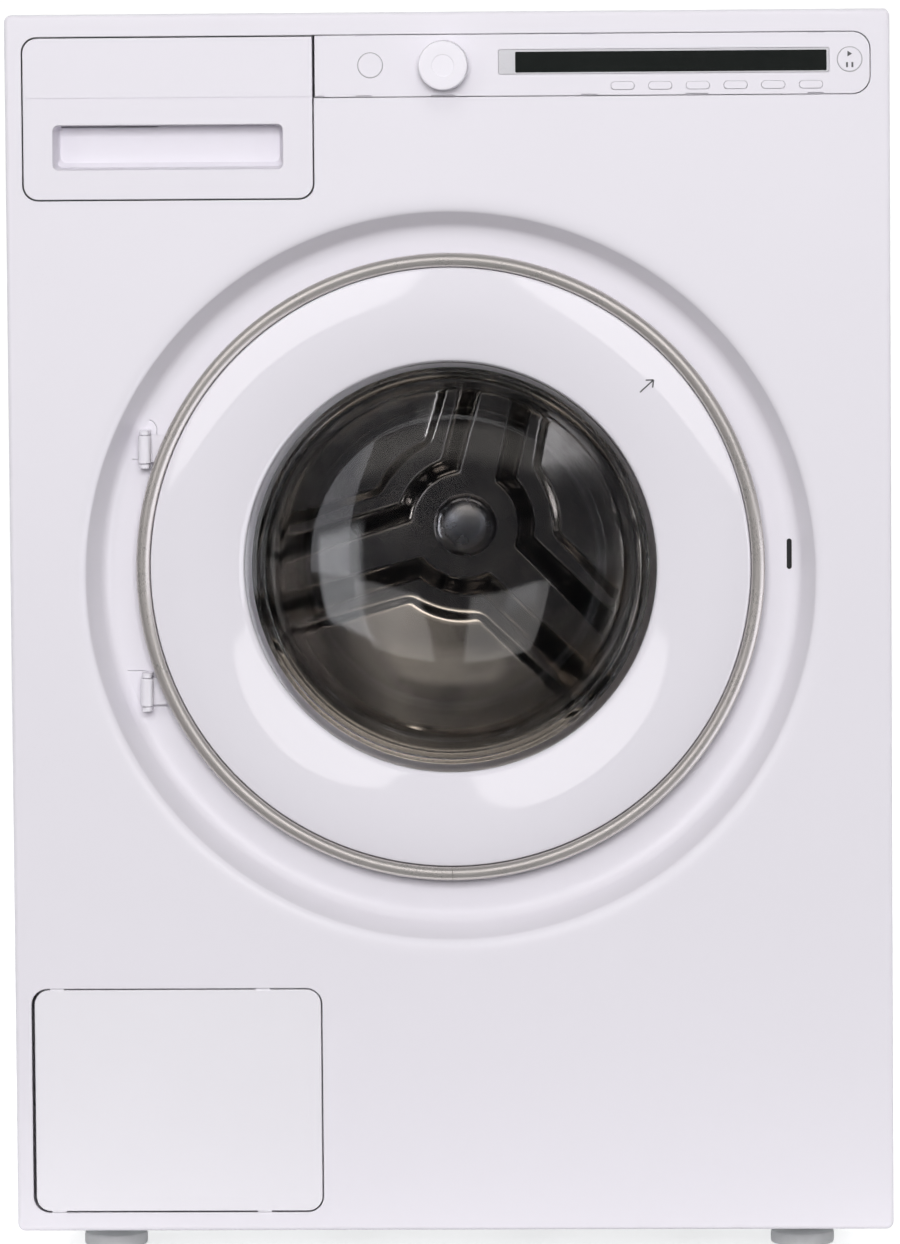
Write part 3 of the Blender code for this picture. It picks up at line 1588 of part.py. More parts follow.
def drum_shaft(parent):
    """Cast spider behind the drum with the shaft that runs through the tub's hub."""
    front = drum_back_depth + seat_gap
    rear = front + spider_depth
    end = pulley_depth + pulley_width + shaft_radius / 2
    profile = [(0, front), (spider_hub_radius, front), (spider_hub_radius, rear), (shaft_radius, rear),
               (shaft_radius, end), (0, end)]
    form = turned_profile([(r, depth(d)) for r, d in profile], (0, 0, door_height), turns_medium)
    made = piece("drum_shaft", form, cast(), (0, depth(front), door_height), parent)
    half = spider_arm_width / 2
    for arm in range(lifter_count):
        a = math.radians(drum_turn) + math.tau * arm / lifter_count
        bar = block(0, drum_radius - half, depth(front), depth(rear - sheet), -half, half)
        turned(bar, -a, "Y", (0, 0, 0))
        join(made, moved(bar, (0, 0, door_height)))
    return made


def drum_pulley(parent):
    front = pulley_depth
    end = front + pulley_width
    bore = shaft_radius + seat_gap
    web = front + pulley_width / 2 - pulley_web / 2
    hub = pulley_hub_radius
    rim = pulley_radius - pulley_rim
    profile = [(bore, front), (hub, front), (hub, web), (rim, web), (rim, front), (pulley_radius, front),
               (pulley_radius, end), (rim, end), (rim, web + pulley_web), (hub, web + pulley_web), (hub, end),
               (bore, end)]
    form = turned_profile([(r, depth(d)) for r, d in profile], (0, 0, door_height), turns_drum, closed=True)
    made = piece("drum_pulley", form, cast(), (0, depth(front), door_height), parent)
    pitch = math.tau / pulley_spokes
    for i in range(pulley_spokes):
        half = math.degrees(pitch * pulley_window_share / 2)
        middle = math.degrees(pitch * i)
        window = arc(0, door_height, pulley_window_outer, middle - half, middle + half, 6)
        window += arc(0, door_height, pulley_window_inner, middle + half, middle - half, 3)
        cut(made, prism(window, depth(web - overrun), depth(web + pulley_web + overrun)))
    return made


def motor_pulley(parent):
    shaft_start = motor_front_depth + motor_length - motor_end_length + running_gap
    front = pulley_depth
    end = front + pulley_width
    profile = [(0, shaft_start), (motor_shaft_radius, shaft_start), (motor_shaft_radius, front),
               (motor_pulley_radius, front), (motor_pulley_radius, end), (0, end)]
    form = turned_profile([(r, depth(d)) for r, d in profile], (motor_x, 0, motor_height), turns_small)
    return piece("motor_pulley", form, zinc(), (motor_x, depth(front), motor_height), parent)


def sump_hose():
    """Ribbed hose with its bore, upright between the pump and the tub's spigot."""
    low = pump_inlet_height + seat_gap
    high = spigot_low() - seat_gap
    cuff = (high - low) / 8
    pitch = (high - low - 2 * cuff) / hose_ribs
    line = [(hose_radius - hose_rib, low), (hose_radius - hose_rib, low + cuff)]
    for i in range(hose_ribs):
        line.append((hose_radius, low + cuff + pitch * (i + 0.5)))
        line.append((hose_radius - hose_rib, low + cuff + pitch * (i + 1)))
    line.append((hose_radius - hose_rib, high))
    bore = hose_radius - hose_rib - hose_wall
    profile = line + [(bore, high), (bore, low)]
    form = turned_profile(profile, (filter_x, hose_y(), 0), turns_tiny, "Z", closed=True)
    return piece("sump_hose", form, rubber())


def door_ring(name, profile, look, parent, count=None):
    form = turned_profile([(r, depth(d)) for r, d in profile], (0, 0, door_height), count or turns_large,
                          closed=True)
    return piece(name, form, look, (hinge_x, depth(hinge_depth), 0), parent)


def door_trim_ring(parent):
    """Rounded steel hoop round the door."""
    middle = (trim_outer_radius + trim_inner_radius) / 2
    half = (trim_outer_radius - trim_inner_radius) / 2
    spring = trim_crown_depth + half * trim_round_share
    line = [(trim_outer_radius, trim_back_depth)]
    line += [(middle + half * math.cos(math.radians(a)), spring - (spring - trim_crown_depth)
              * math.sin(math.radians(a))) for a in (0, 36, 72, 108, 144, 180)]
    line += [(trim_inner_radius, spring + sheet * 2)]
    back = [(trim_inner_radius + sheet, spring + sheet * 2), (trim_inner_radius + sheet, spring),
            (middle, trim_crown_depth + sheet), (trim_outer_radius - sheet, spring),
            (trim_outer_radius - sheet, trim_back_depth)]
    return door_ring("door_trim_ring", line + back, trim_steel(), parent)


def door_front_ring(parent):
    """Crowned white ring between the steel hoop and the glass."""
    outer = trim_inner_radius - seat_gap
    inner = front_ring_inner_radius
    rim = glass_seat_depth() - seat_gap
    crown = front_ring_crown_radius
    wall = front_ring_wall
    edge = sheet
    fall = front_ring_inner_depth - front_ring_crown_depth
    lift = front_ring_edge_depth - front_ring_crown_depth
    line = [(outer, rim), (outer, front_ring_edge_depth + edge), (outer - edge, front_ring_edge_depth)]
    line += [(crown + (outer - crown) * t,
              front_ring_crown_depth + lift * t * t) for t in reversed(front_ring_shares)]
    line += [(crown - (crown - inner) * t, front_ring_crown_depth + fall * t * t) for t in (0,
                                                                                            *front_ring_shares)]
    line += [(inner, front_ring_inner_depth), (inner, rim)]
    back = [(inner + wall, rim), (inner + wall, front_ring_inner_depth + wall / 2),
            (crown, front_ring_crown_depth + wall), (outer - wall, front_ring_edge_depth + wall),
            (outer - wall, rim)]
    return door_ring("door_front_ring", line + back, white_plastic(), parent)


def glass_seat_depth():
    return front_ring_inner_depth + glass_wall - sheet / 2


def door_glass(parent):
    """Pressed bowl of glass whose flange is held between the front ring and the inner frame."""
    seat = glass_seat_depth()
    flange = front_ring_inner_radius + front_ring_wall + glass_wall / 2
    line = [(flange, seat), (glass_rim_radius, seat), (glass_neck_radius, glass_neck_depth),
            (glass_belly_radius, glass_belly_depth),
            ((glass_belly_radius + glass_nose_radius) / 2 + glass_wall,
             (glass_belly_depth + glass_nose_depth) / 2 + glass_wall), (glass_nose_radius, glass_nose_depth),
            (glass_nose_radius / 2, glass_tip_depth - sheet), (0, glass_tip_depth)]
    wall = glass_flange_depth - seat
    back = [(0, glass_tip_depth + wall), (glass_nose_radius / 2, glass_tip_depth - sheet + wall),
            (glass_nose_radius + wall / 2, glass_nose_depth + wall),
            ((glass_belly_radius + glass_nose_radius) / 2 + glass_wall + wall,
             (glass_belly_depth + glass_nose_depth) / 2 + glass_wall + wall / 2),
            (glass_belly_radius + wall, glass_belly_depth), (glass_neck_radius + wall,
                                                             glass_neck_depth + wall / 2),
            (glass_rim_radius + wall / 2, glass_flange_depth), (flange, glass_flange_depth)]
    return door_ring("door_glass", line + back, glass(), parent)


def door_inner_frame(parent):
    """Plastic frame behind the rings, which holds the glass and the seal, with the fixed latch hook."""
    seat = glass_seat_depth()
    plate_end = seat + inner_frame_plate
    outer = trim_outer_radius - sheet - running_gap
    bore = front_ring_inner_radius + front_ring_wall + glass_wall / 2 + running_gap
    wall = inner_frame_wall
    barrel = inner_frame_radius
    end = inner_frame_depth
    neck = glass_neck_radius + inner_frame_wall + running_gap
    profile = [(outer, seat), (bore, seat), (bore, plate_end), (barrel - wall, plate_end), (barrel - wall,
                                                                                            end - wall),
               (neck, end - wall), (neck, end), (barrel, end), (barrel, plate_end), (outer, plate_end)]
    made = door_ring("door_inner_frame", profile, white_plastic(), parent)
    half = latch_height / 2
    tip = plate_end + latch_reach + latch_barb
    join(made, block(latch_x - latch_width / 2, latch_x + latch_width / 2, depth(plate_end - wall / 2),
                     depth(tip),
                     door_height - half, door_height + half))
    join(made, block(latch_x, latch_x + latch_width / 2 + latch_barb, depth(tip - latch_barb), depth(tip),
                     door_height - half, door_height + half))
    return made


def door_seal(parent):
    """Rubber lip on the back of the inner frame, which lies on the tub's steel collar."""
    start = inner_frame_depth + seat_gap
    end = collar_depth - seat_gap
    inner = seal_radius - seal_width / 2
    outer = seal_radius + seal_width / 2 - sheet
    lip = seal_lip_width / 2
    profile = [(inner, start), (inner, start + sheet), (seal_radius - lip, end), (seal_radius + lip, end),
               (outer, start + sheet), (outer, start)]
    return door_ring("door_seal", profile, rubber(), parent)


def hinge_heights():
    return (hinge_upper_height, hinge_lower_height)


def door_hinge_leaf(parent):
    """Leaf under the door's left side with two arms that end in barrels on the hinge axis."""
    start = glass_seat_depth() + inner_frame_plate + seat_gap
    end = start + hinge_arm_thickness
    inner = inner_frame_radius + hinge_leaf_margin / 2
    outer = trim_outer_radius - sheet * 2 - hinge_leaf_margin
    angles = [math.asin((z - door_height) / outer) for z in hinge_heights()]
    spare = hinge_barrel_height / outer
    first = math.degrees(math.pi - max(angles) - spare)
    last = math.degrees(math.pi - min(angles) + spare)
    outline = arc(0, door_height, outer, first, last, 10) + arc(0, door_height, inner, last, first, 10)
    made = piece("door_hinge_leaf", prism(outline, depth(start), depth(end)), zinc(),
                 (hinge_x, depth(hinge_depth), 0), parent)
    half = hinge_barrel_height / 2
    for z in hinge_heights():
        arm_end = -math.sqrt((outer - hinge_leaf_margin) ** 2 - (abs(z - door_height) - half) ** 2)
        join(made, block(hinge_x, arm_end, depth(start), depth(end), z - half, z + half))
        join(made, block(hinge_x, hinge_x + hinge_barrel_radius, depth(hinge_depth),
                         depth(end), z - half, z + half))
        join(made, post(hinge_x, depth(hinge_depth), hinge_barrel_radius, z - half, z + half, turns_small))
    for z in hinge_heights():
        cut(made, post(hinge_x, depth(hinge_depth), hinge_pin_radius + running_gap, z - half - overrun,
                       z + half + overrun, turns_tiny))
    return made


def hinge_bracket():
    """Plate behind the recess floor whose two tabs fill the floor's openings and carry the ears and pins."""
    behind = recess_depth + sheet + seat_gap
    left = hinge_x - hinge_plate_width / 2
    right = left + hinge_plate_width
    low = hinge_lower_height - hinge_plate_margin
    high = hinge_upper_height + hinge_plate_margin
    made = piece("hinge_bracket", block(left, right, depth(behind), depth(behind + hinge_plate_thickness),
                                        low, high),
                 enamel())
    half = hinge_barrel_height / 2 + running_gap
    ear = hinge_ear_radius
    ear_line = [(hinge_x - ear, depth(recess_depth)), (hinge_x + ear, depth(recess_depth))]
    ear_line += [(hinge_x + u, depth(hinge_depth) - v) for u, v in arc(0, 0, ear, 0, 180, 6)]
    for z in hinge_heights():
        join(made, prism(hinge_tab_outline(z, 0), depth(recess_depth),
                         depth(behind + hinge_plate_thickness / 2)))
        for base in (z + half, z - half - hinge_ear_thickness):
            grown = [(x, y + (overrun / 2 if y >= depth(recess_depth) else 0)) for x, y in ear_line]
            join(made, prism(grown, base, base + hinge_ear_thickness, "Z"))
        join(made, post(hinge_x, depth(hinge_depth), hinge_pin_radius, z - half - hinge_ear_thickness / 2,
                        z + half + hinge_ear_thickness / 2, turns_tiny))
    return made


def door_lock():
    """Lock box behind the recess floor, open to the hook, with a dark tab that shows in the slot."""
    behind = recess_depth + sheet + seat_gap
    left = door_opening_radius + sheet * 2
    made = piece("door_lock", block(left, left + lock_width, depth(behind), depth(behind + lock_depth),
                                    door_height - lock_height / 2, door_height + lock_height / 2),
                                    black_plastic())
    tab = slot_outline(lock_slot_x, lock_slot_height, lock_slot_width, lock_slot_length, running_gap)
    join(made, prism(tab, depth(recess_depth + lock_tab_proud), depth(behind + sheet)))
    tall = latch_slot_height / 2
    half = latch_slot_width / 2
    middle = latch_x + latch_barb / 2
    cut(made, block(middle - half, middle + half, depth(behind - overrun), depth(behind + lock_cavity_depth),
                    door_height - tall, door_height + tall))
    return made


def build():
    for old in list(bpy.data.objects):
        bpy.data.objects.remove(old, do_unlink=True)
    front_panel()
    cabinet_shell()
    back_cover()
    worktop()
    base_pan()
    for name, x, y in foot_places():
        foot(name, x, y)
    control_fascia()
    display_window()
    program_knob()
    round_button("power_button", power_x, power_height, power_radius)
    round_button("start_button", start_x, start_height, start_radius)
    for name, x in option_places():
        option_button(name, x)
    drawer_housing()
    drawer = pivot("drawer_slide_axis", (0, depth(0), drawer_bottom))
    drawer_front(drawer)
    drawer_tray(drawer)
    hatch_frame()
    service_hatch(pivot("hatch_axis", (hatch_hinge_x, depth(hatch_hinge_depth), 0)))
    pump_filter(None)
    drain_pump()
    inlet_valve()
    fitting_on_back("drain_outlet", drain_x, drain_height, drain_radius, drain_bore_radius, drain_length,
                    drain_plate_radius, grey_plastic())
    fitting_on_back("cable_gland", gland_x, gland_height, gland_radius, gland_bore_radius, gland_length,
                    gland_plate_radius, black_plastic())
    build_tub()
    build_door()


def build_tub():
    tub = pivot("tub_axis", (0, depth(tub_front_depth), door_height))
    tub_shell(tub)
    tub_front(tub)
    front_counterweight(tub)
    heating_element(tub)
    motor(tub)
    drive_belt(tub)
    for name, x, y in damper_places():
        damper_cylinder("damper_cylinder_" + name, x, y)
        damper_rod("damper_rod_" + name, x, y, tub)
    sump_hose()
    drum = pivot("drum_axis", (0, depth(drum_back_depth), door_height))
    drum_shell(drum)
    for i in range(lifter_count):
        turn = math.radians(drum_turn) + math.pi + math.tau * i / lifter_count
        drum_lifter(f"drum_lifter_{i + 1}", turn, drum)
    drum_shaft(drum)
    drum_pulley(drum)
    motor_pulley(tub)


def build_door():
    hinge_bracket()
    door_lock()
    door = pivot("door_axis", (hinge_x, depth(hinge_depth), 0))
    door_trim_ring(door)
    door_front_ring(door)
    door_glass(door)
    door_inner_frame(door)
    door_seal(door)
    door_hinge_leaf(door)


build()
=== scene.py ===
"""Looks of a front-loading washing machine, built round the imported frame, in metres.

The front faces -Y and +Z is up. Depths are counted back from the front panel's face.
"""
import json
import math

import bmesh
import bpy
from mathutils import Matrix, Vector


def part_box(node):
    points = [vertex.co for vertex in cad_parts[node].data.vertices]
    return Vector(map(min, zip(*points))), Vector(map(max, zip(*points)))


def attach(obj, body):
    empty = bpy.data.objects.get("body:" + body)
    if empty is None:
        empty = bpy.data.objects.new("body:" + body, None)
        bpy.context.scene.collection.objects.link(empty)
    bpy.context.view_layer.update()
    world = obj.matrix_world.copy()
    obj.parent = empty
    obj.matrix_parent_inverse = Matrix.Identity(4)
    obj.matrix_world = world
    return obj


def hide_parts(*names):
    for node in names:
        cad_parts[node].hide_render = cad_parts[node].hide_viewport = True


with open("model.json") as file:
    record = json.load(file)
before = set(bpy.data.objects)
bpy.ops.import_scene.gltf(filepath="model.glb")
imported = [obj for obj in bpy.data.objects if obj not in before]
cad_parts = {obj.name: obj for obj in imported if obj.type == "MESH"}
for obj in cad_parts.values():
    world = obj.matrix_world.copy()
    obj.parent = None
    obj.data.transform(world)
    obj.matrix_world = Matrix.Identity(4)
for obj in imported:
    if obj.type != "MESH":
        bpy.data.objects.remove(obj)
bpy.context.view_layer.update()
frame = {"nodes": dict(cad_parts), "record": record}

bl_info = {
    "name": "Front-loading washing machine",
    "version": (1, 0, 0),
    "blender": (4, 5, 0),
    "location": "View3D > Sidebar > Washer",
    "description": "Builds the finished pieces of a front-loading washing machine round its frame",
    "category": "Object",
}

# Places read from the frame
panel_low, panel_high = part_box("front_panel")
face_y = panel_low[1]
trim_low, trim_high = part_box("door_trim_ring")
door_x = (trim_low[0] + trim_high[0]) / 2
door_z = (trim_low[2] + trim_high[2]) / 2
door_centre = (door_x, door_z)

# How far a cutting form passes the piece, and the gap that a finished piece keeps to its frame
overrun = 0.004
hair = 0.0003


def depth(value):
    return face_y + value


# Settings, shown in Blender's sidebar with their units
def length(name, description, default):
    return bpy.props.FloatProperty(name=name, description=description, default=default, unit="LENGTH")


def tilt(name, description, degrees):
    return bpy.props.FloatProperty(name=name, description=description, default=math.radians(degrees),
                                   subtype="ANGLE")


def amount(name, description, default):
    return bpy.props.FloatProperty(name=name, description=description, default=default)


def facets(name, description, default):
    return bpy.props.IntProperty(name=name, description=description, default=default)


def tone(name, description, default):
    return bpy.props.FloatVectorProperty(name=name, description=description, subtype="COLOR", size=3,
                                         default=default)


class PanelSettings(bpy.types.PropertyGroup):
    """Sizes of the front panel and its round recess."""
    sheet: length("Sheet", "Thickness of the steel", 0.0012)
    corner: length("Corner", "Radius of the corners", 0.005)
    fold: length("Fold", "Radius of the folded edges", 0.003)
    flange: length("Flange", "Width of the folded edges", 0.018)
    rim: length("Rim", "Radius of the recess at its edge", 0.246)
    flat: length("Flat", "Radius where the flat face begins", 0.258)
    wall: length("Wall", "Radius of the wall's foot", 0.2365)
    floor: length("Floor", "Radius of the recess floor", 0.2335)
    opening: length("Opening", "Radius of the door opening", 0.178)
    recess: length("Recess", "Depth of the recess", 0.026)
    drop: length("Drop", "Recess centre below the door's", 0.0056)
    spokes: facets("Spokes", "Facets round the recess", 240)
    seam: length("Seam", "Gap round the drawer and the hatch", 0.0006)
    swing: length("Swing", "Gap at the hatch's hinged side", 0.0018)


class DoorSettings(bpy.types.PropertyGroup):
    """Sizes of the door's rings and glass."""
    trim_outer: length("Trim outside", "Outer radius of the steel hoop", 0.2126)
    trim_inner: length("Trim inside", "Inner radius of the steel hoop", 0.2035)
    crown: length("Crown", "Depth of the hoop's front", 0.0057)
    glass: length("Glass", "Radius of the white ring's opening", 0.1395)
    turns: facets("Turns", "Facets round the door", 200)


class FinishSettings(bpy.types.PropertyGroup):
    """Colours of the finishes."""
    enamel: tone("Enamel", "White of the steel panels", (0.765, 0.740, 0.795))
    plastic: tone("Plastic", "White of the mouldings", (0.755, 0.730, 0.785))
    gloss: tone("Gloss", "White of the door ring", (0.750, 0.725, 0.780))
    trim: tone("Trim", "Steel of the hoop", (0.60, 0.565, 0.545))
    drum: tone("Drum", "Steel of the drum", (0.62, 0.59, 0.57))


class StageSettings(bpy.types.PropertyGroup):
    """Camera, lamps and floor."""
    distance: length("Distance", "Camera in front of the panel", 4.5)
    side: length("Side", "Camera to the right of the middle", 0.1344)
    height: length("Height", "Camera above the floor", 0.8509)
    pitch: tilt("Pitch", "Camera tilted down", 3.632)
    yaw: tilt("Yaw", "Camera turned to the left", 1.701)
    roll: tilt("Roll", "Camera rolled", -0.444)
    lens: amount("Lens", "Focal length in millimetres", 193.80)
    shift: amount("Shift", "Vertical shift of the frame", -0.15)
    world: amount("World", "Room light from the sides", 0.07)
    front: amount("Front", "Room light from the front", 0.20)
    rear: amount("Rear", "Room light from behind", 0.60)
    floor_white: amount("Floor white", "Own light of the floor where it is seen", 0.58)
    lamp: amount("Lamps", "Strength of the soft lamps", 1.0)


SETTINGS = (("panel", PanelSettings), ("door", DoorSettings), ("finish", FinishSettings),
            ("stage", StageSettings))


def setting(group):
    return getattr(bpy.context.scene, "washer_" + group)


# Node trees for the finishes
def socket_link(tree, source, target):
    tree.links.new(source, target)


def new_node(tree, kind, **values):
    node = tree.nodes.new(kind)
    for name, value in values.items():
        if hasattr(node, name):
            setattr(node, name, value)
        else:
            node.inputs[name.replace("_", " ").title()].default_value = value
    return node


def noise(tree, vector, scale, detail=3.0, roughness=0.5):
    node = new_node(tree, "ShaderNodeTexNoise", scale=scale, detail=detail, roughness=roughness)
    socket_link(tree, vector, node.inputs["Vector"])
    return node.outputs["Fac"]


def remap(tree, value, low, high):
    """Middle of the noise, 0.3 to 0.7, stretched over the range from low to high."""
    node = tree.nodes.new("ShaderNodeMapRange")
    for name, number in (("From Min", 0.3), ("From Max", 0.7), ("To Min", low), ("To Max", high)):
        node.inputs[name].default_value = number
    socket_link(tree, value, node.inputs["Value"])
    return node.outputs["Result"]


def stretched(tree, vector, scale):
    node = tree.nodes.new("ShaderNodeMapping")
    node.inputs["Scale"].default_value = scale
    socket_link(tree, vector, node.inputs["Vector"])
    return node.outputs["Vector"]


def round_coordinates(tree, vector, centre):
    """Angle, radius and depth about an axis along Y, so that a grain can run round a turned piece."""
    move = tree.nodes.new("ShaderNodeMapping")
    move.inputs["Location"].default_value = (-centre[0], 0.0, -centre[1])
    socket_link(tree, vector, move.inputs["Vector"])
    parts = tree.nodes.new("ShaderNodeSeparateXYZ")
    socket_link(tree, move.outputs["Vector"], parts.inputs["Vector"])
    angle = new_node(tree, "ShaderNodeMath", operation="ARCTAN2")
    socket_link(tree, parts.outputs["Z"], angle.inputs[0])
    socket_link(tree, parts.outputs["X"], angle.inputs[1])
    flat = tree.nodes.new("ShaderNodeCombineXYZ")
    socket_link(tree, parts.outputs["X"], flat.inputs["X"])
    socket_link(tree, parts.outputs["Z"], flat.inputs["Y"])
    reach = new_node(tree, "ShaderNodeVectorMath", operation="LENGTH")
    socket_link(tree, flat.outputs["Vector"], reach.inputs[0])
    joined = tree.nodes.new("ShaderNodeCombineXYZ")
    socket_link(tree, angle.outputs["Value"], joined.inputs["X"])
    socket_link(tree, reach.outputs["Value"], joined.inputs["Y"])
    socket_link(tree, parts.outputs["Y"], joined.inputs["Z"])
    return joined.outputs["Vector"]


def finish(name, color, roughness, metallic=0.0, shade=0.04, spread=0.05, patch=9.0, grain=600.0,
           bump=0.02, reach=0.0002, coat=0.0, coat_roughness=0.05, streak=None, around=None,
           transmission=0.0, ior=1.45, anisotropy=0.0):
    """Procedural finish: colour and gloss drift in soft patches, and a fine grain lies over them."""
    title = "finish_" + name
    made = bpy.data.materials.get(title)
    if made:
        return made
    made = bpy.data.materials.new(title)
    made.use_nodes = True
    tree = made.node_tree
    shader = tree.nodes["Principled BSDF"]
    shader.inputs["Metallic"].default_value = metallic
    shader.inputs["Coat Weight"].default_value = coat
    shader.inputs["Coat Roughness"].default_value = coat_roughness
    shader.inputs["Transmission Weight"].default_value = transmission
    shader.inputs["IOR"].default_value = ior
    shader.inputs["Anisotropic"].default_value = anisotropy
    place = tree.nodes.new("ShaderNodeTexCoord").outputs["Object"]
    cloud = noise(tree, place, patch)
    tint = tree.nodes.new("ShaderNodeMix")
    tint.data_type = "RGBA"
    tint.inputs["A"].default_value = (*[c * (1 - shade) for c in color], 1.0)
    tint.inputs["B"].default_value = (*[min(1.0, c * (1 + shade)) for c in color], 1.0)
    socket_link(tree, remap(tree, cloud, 0.0, 1.0), tint.inputs["Factor"])
    socket_link(tree, tint.outputs["Result"], shader.inputs["Base Color"])
    spot = round_coordinates(tree, place, around) if around else place
    fine = stretched(tree, spot, streak) if streak else spot
    lines = noise(tree, fine, grain, 4.0, 0.6)
    smear = noise(tree, place, patch * 4.3)
    mixed = new_node(tree, "ShaderNodeMath", operation="ADD")
    socket_link(tree, remap(tree, lines, -spread / 2, spread / 2), mixed.inputs[0])
    socket_link(tree, remap(tree, smear, roughness - spread / 2, roughness + spread / 2), mixed.inputs[1])
    socket_link(tree, mixed.outputs["Value"], shader.inputs["Roughness"])
    if bump:
        relief = new_node(tree, "ShaderNodeBump", strength=bump, distance=reach)
        socket_link(tree, lines, relief.inputs["Height"])
        socket_link(tree, relief.outputs["Normal"], shader.inputs["Normal"])
    return made


def enamel():
    return finish("white_enamel", setting("finish").enamel, 0.30, shade=0.008, spread=0.03, patch=3.0,
                  grain=900.0, bump=0.03, reach=0.00004, coat=0.25, coat_roughness=0.12)


def white_moulding():
    return finish("white_moulding", setting("finish").plastic, 0.34, shade=0.008, spread=0.04, patch=6.0,
                  grain=2600.0, bump=0.05, reach=0.00003)


def gloss_moulding():
    return finish("gloss_white", setting("finish").gloss, 0.03, shade=0.006, spread=0.008, patch=5.0,
                  grain=700.0, bump=0.006, reach=0.00004, coat=0.6, coat_roughness=0.03)


# Painted shade: grey of the thin rings that stand in for the shade in the gap round the round keys.
def line_grey():
    return finish("line_grey", (0.36, 0.355, 0.37), 0.45, shade=0.02)


def trim_steel():
    return finish("trim_steel", setting("finish").trim, 0.30, 0.62, shade=0.02, spread=0.06, patch=14.0,
                  grain=60.0, bump=0.03, reach=0.00003, streak=(1.0, 60.0, 60.0), around=(door_x, door_z),
                  anisotropy=0.3)


def drum_steel():
    return finish("drum_steel", setting("finish").drum, 0.17, 1.0, shade=0.08, spread=0.05, patch=7.0,
                  grain=30.0, bump=0.0)


def plain_steel():
    return finish("stainless_sheet", (0.55, 0.54, 0.53), 0.32, 1.0, shade=0.06, spread=0.10, patch=6.0,
                  grain=90.0, bump=0.06, reach=0.00008, streak=(1.0, 20.0, 20.0), around=(door_x, door_z))


def zinc():
    return finish("zinc_sheet", (0.50, 0.51, 0.52), 0.42, 1.0, shade=0.12, spread=0.16, patch=60.0,
                  grain=300.0, bump=0.08, reach=0.0001)


def cast():
    return finish("cast_aluminium", (0.42, 0.42, 0.43), 0.55, 1.0, shade=0.08, spread=0.12, patch=20.0,
                  grain=700.0, bump=0.35, reach=0.0003)


def ballast():
    return finish("ballast_iron", (0.075, 0.078, 0.083), 0.62, 0.6, shade=0.15, spread=0.15, patch=16.0,
                  grain=400.0, bump=0.5, reach=0.0006)


def rubber():
    return finish("black_rubber", (0.022, 0.022, 0.023), 0.62, shade=0.15, spread=0.14, patch=25.0,
                  grain=1500.0, bump=0.15, reach=0.00008)


def black_moulding():
    return finish("black_moulding", (0.018, 0.018, 0.019), 0.38, shade=0.10, spread=0.10, patch=18.0,
                  grain=2000.0, bump=0.10, reach=0.00005)


def grey_moulding():
    return finish("grey_moulding", (0.36, 0.37, 0.38), 0.42, shade=0.04, spread=0.10, patch=12.0,
                  grain=1800.0, bump=0.10, reach=0.00006)


def pale_moulding():
    return finish("pale_moulding", (0.60, 0.61, 0.64), 0.36, shade=0.03, spread=0.08, patch=12.0,
                  grain=1800.0, bump=0.08, reach=0.00005)


def display_black():
    return finish("display_black", (0.011, 0.013, 0.012), 0.14, shade=0.05, spread=0.04, patch=30.0,
                  grain=500.0, bump=0.01, reach=0.00004, coat=0.4)


def display_grey():
    return finish("display_grey", (0.58, 0.57, 0.60), 0.30, shade=0.03, spread=0.05, patch=30.0,
                  grain=900.0, bump=0.04, reach=0.00004)


def heater_steel():
    return finish("heater_steel", (0.33, 0.32, 0.32), 0.40, 1.0, shade=0.12, spread=0.14, patch=40.0,
                  grain=500.0, bump=0.10, reach=0.0001)


def door_glass_finish():
    return finish("door_glass", (0.95, 0.96, 0.96), 0.003, shade=0.01, spread=0.003, patch=6.0, grain=30.0,
                  bump=0.01, reach=0.0001, transmission=1.0, ior=1.47)


# Mesh tools
def finished(name, form, look, body, nodes=(), angle=32.0, weighted=True):
    """Puts a form into the scene as one piece of the machine."""
    mesh = mesh_of(form)
    made = linked(name, mesh)
    mesh.shade_smooth()
    mesh.set_sharp_from_angle(angle=math.radians(angle))
    mesh.materials.append(look)
    if weighted:
        step = made.modifiers.new("weighted", "WEIGHTED_NORMAL")
        step.keep_sharp = True
        step.weight = 60
        settle(made)
    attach(made, body)
    if nodes:
        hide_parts(*nodes)
    return made


def linked(name, data):
    """New object in the scene."""
    made = bpy.data.objects.new(name, data)
    bpy.context.scene.collection.objects.link(made)
    return made


def settle(made):
    """Modifiers of a piece worked into its mesh."""
    graph = bpy.context.evaluated_depsgraph_get()
    mesh = bpy.data.meshes.new_from_object(made.evaluated_get(graph), preserve_all_data_layers=True,
                                           depsgraph=graph)
    mesh.name = made.name
    old = made.data
    made.modifiers.clear()
    made.data = mesh
    bpy.data.meshes.remove(old)
    return made


def mesh_of(form):
    bmesh.ops.remove_doubles(form, verts=form.verts, dist=1e-6)
    bmesh.ops.recalc_face_normals(form, faces=form.faces)
    mesh = bpy.data.meshes.new("form")
    form.to_mesh(mesh)
    form.free()
    return mesh


def carved(form, tools):
    """Form with other closed forms cut out of it, as a new form."""
    base = linked("base", mesh_of(form))
    used = [linked("tool", mesh_of(tool)) for tool in tools]
    for other in used:
        step = base.modifiers.new("step", "BOOLEAN")
        step.operation = "DIFFERENCE"
        step.solver = "EXACT"
        step.object = other
    bpy.context.view_layer.update()
    settle(base)
    result = bmesh.new()
    result.from_mesh(base.data)
    for thing in [base, *used]:
        mesh = thing.data
        bpy.data.objects.remove(thing)
        bpy.data.meshes.remove(mesh)
    return result


def merge(forms):
    """Several forms as one, without joining their surfaces."""
    result = bmesh.new()
    for form in forms:
        mesh = mesh_of(form)
        result.from_mesh(mesh)
        bpy.data.meshes.remove(mesh)
    return result


def grown(box, by):
    """Box of left, right, bottom and top, larger by a margin on each side."""
    return box[0] - by, box[1] + by, box[2] - by, box[3] + by


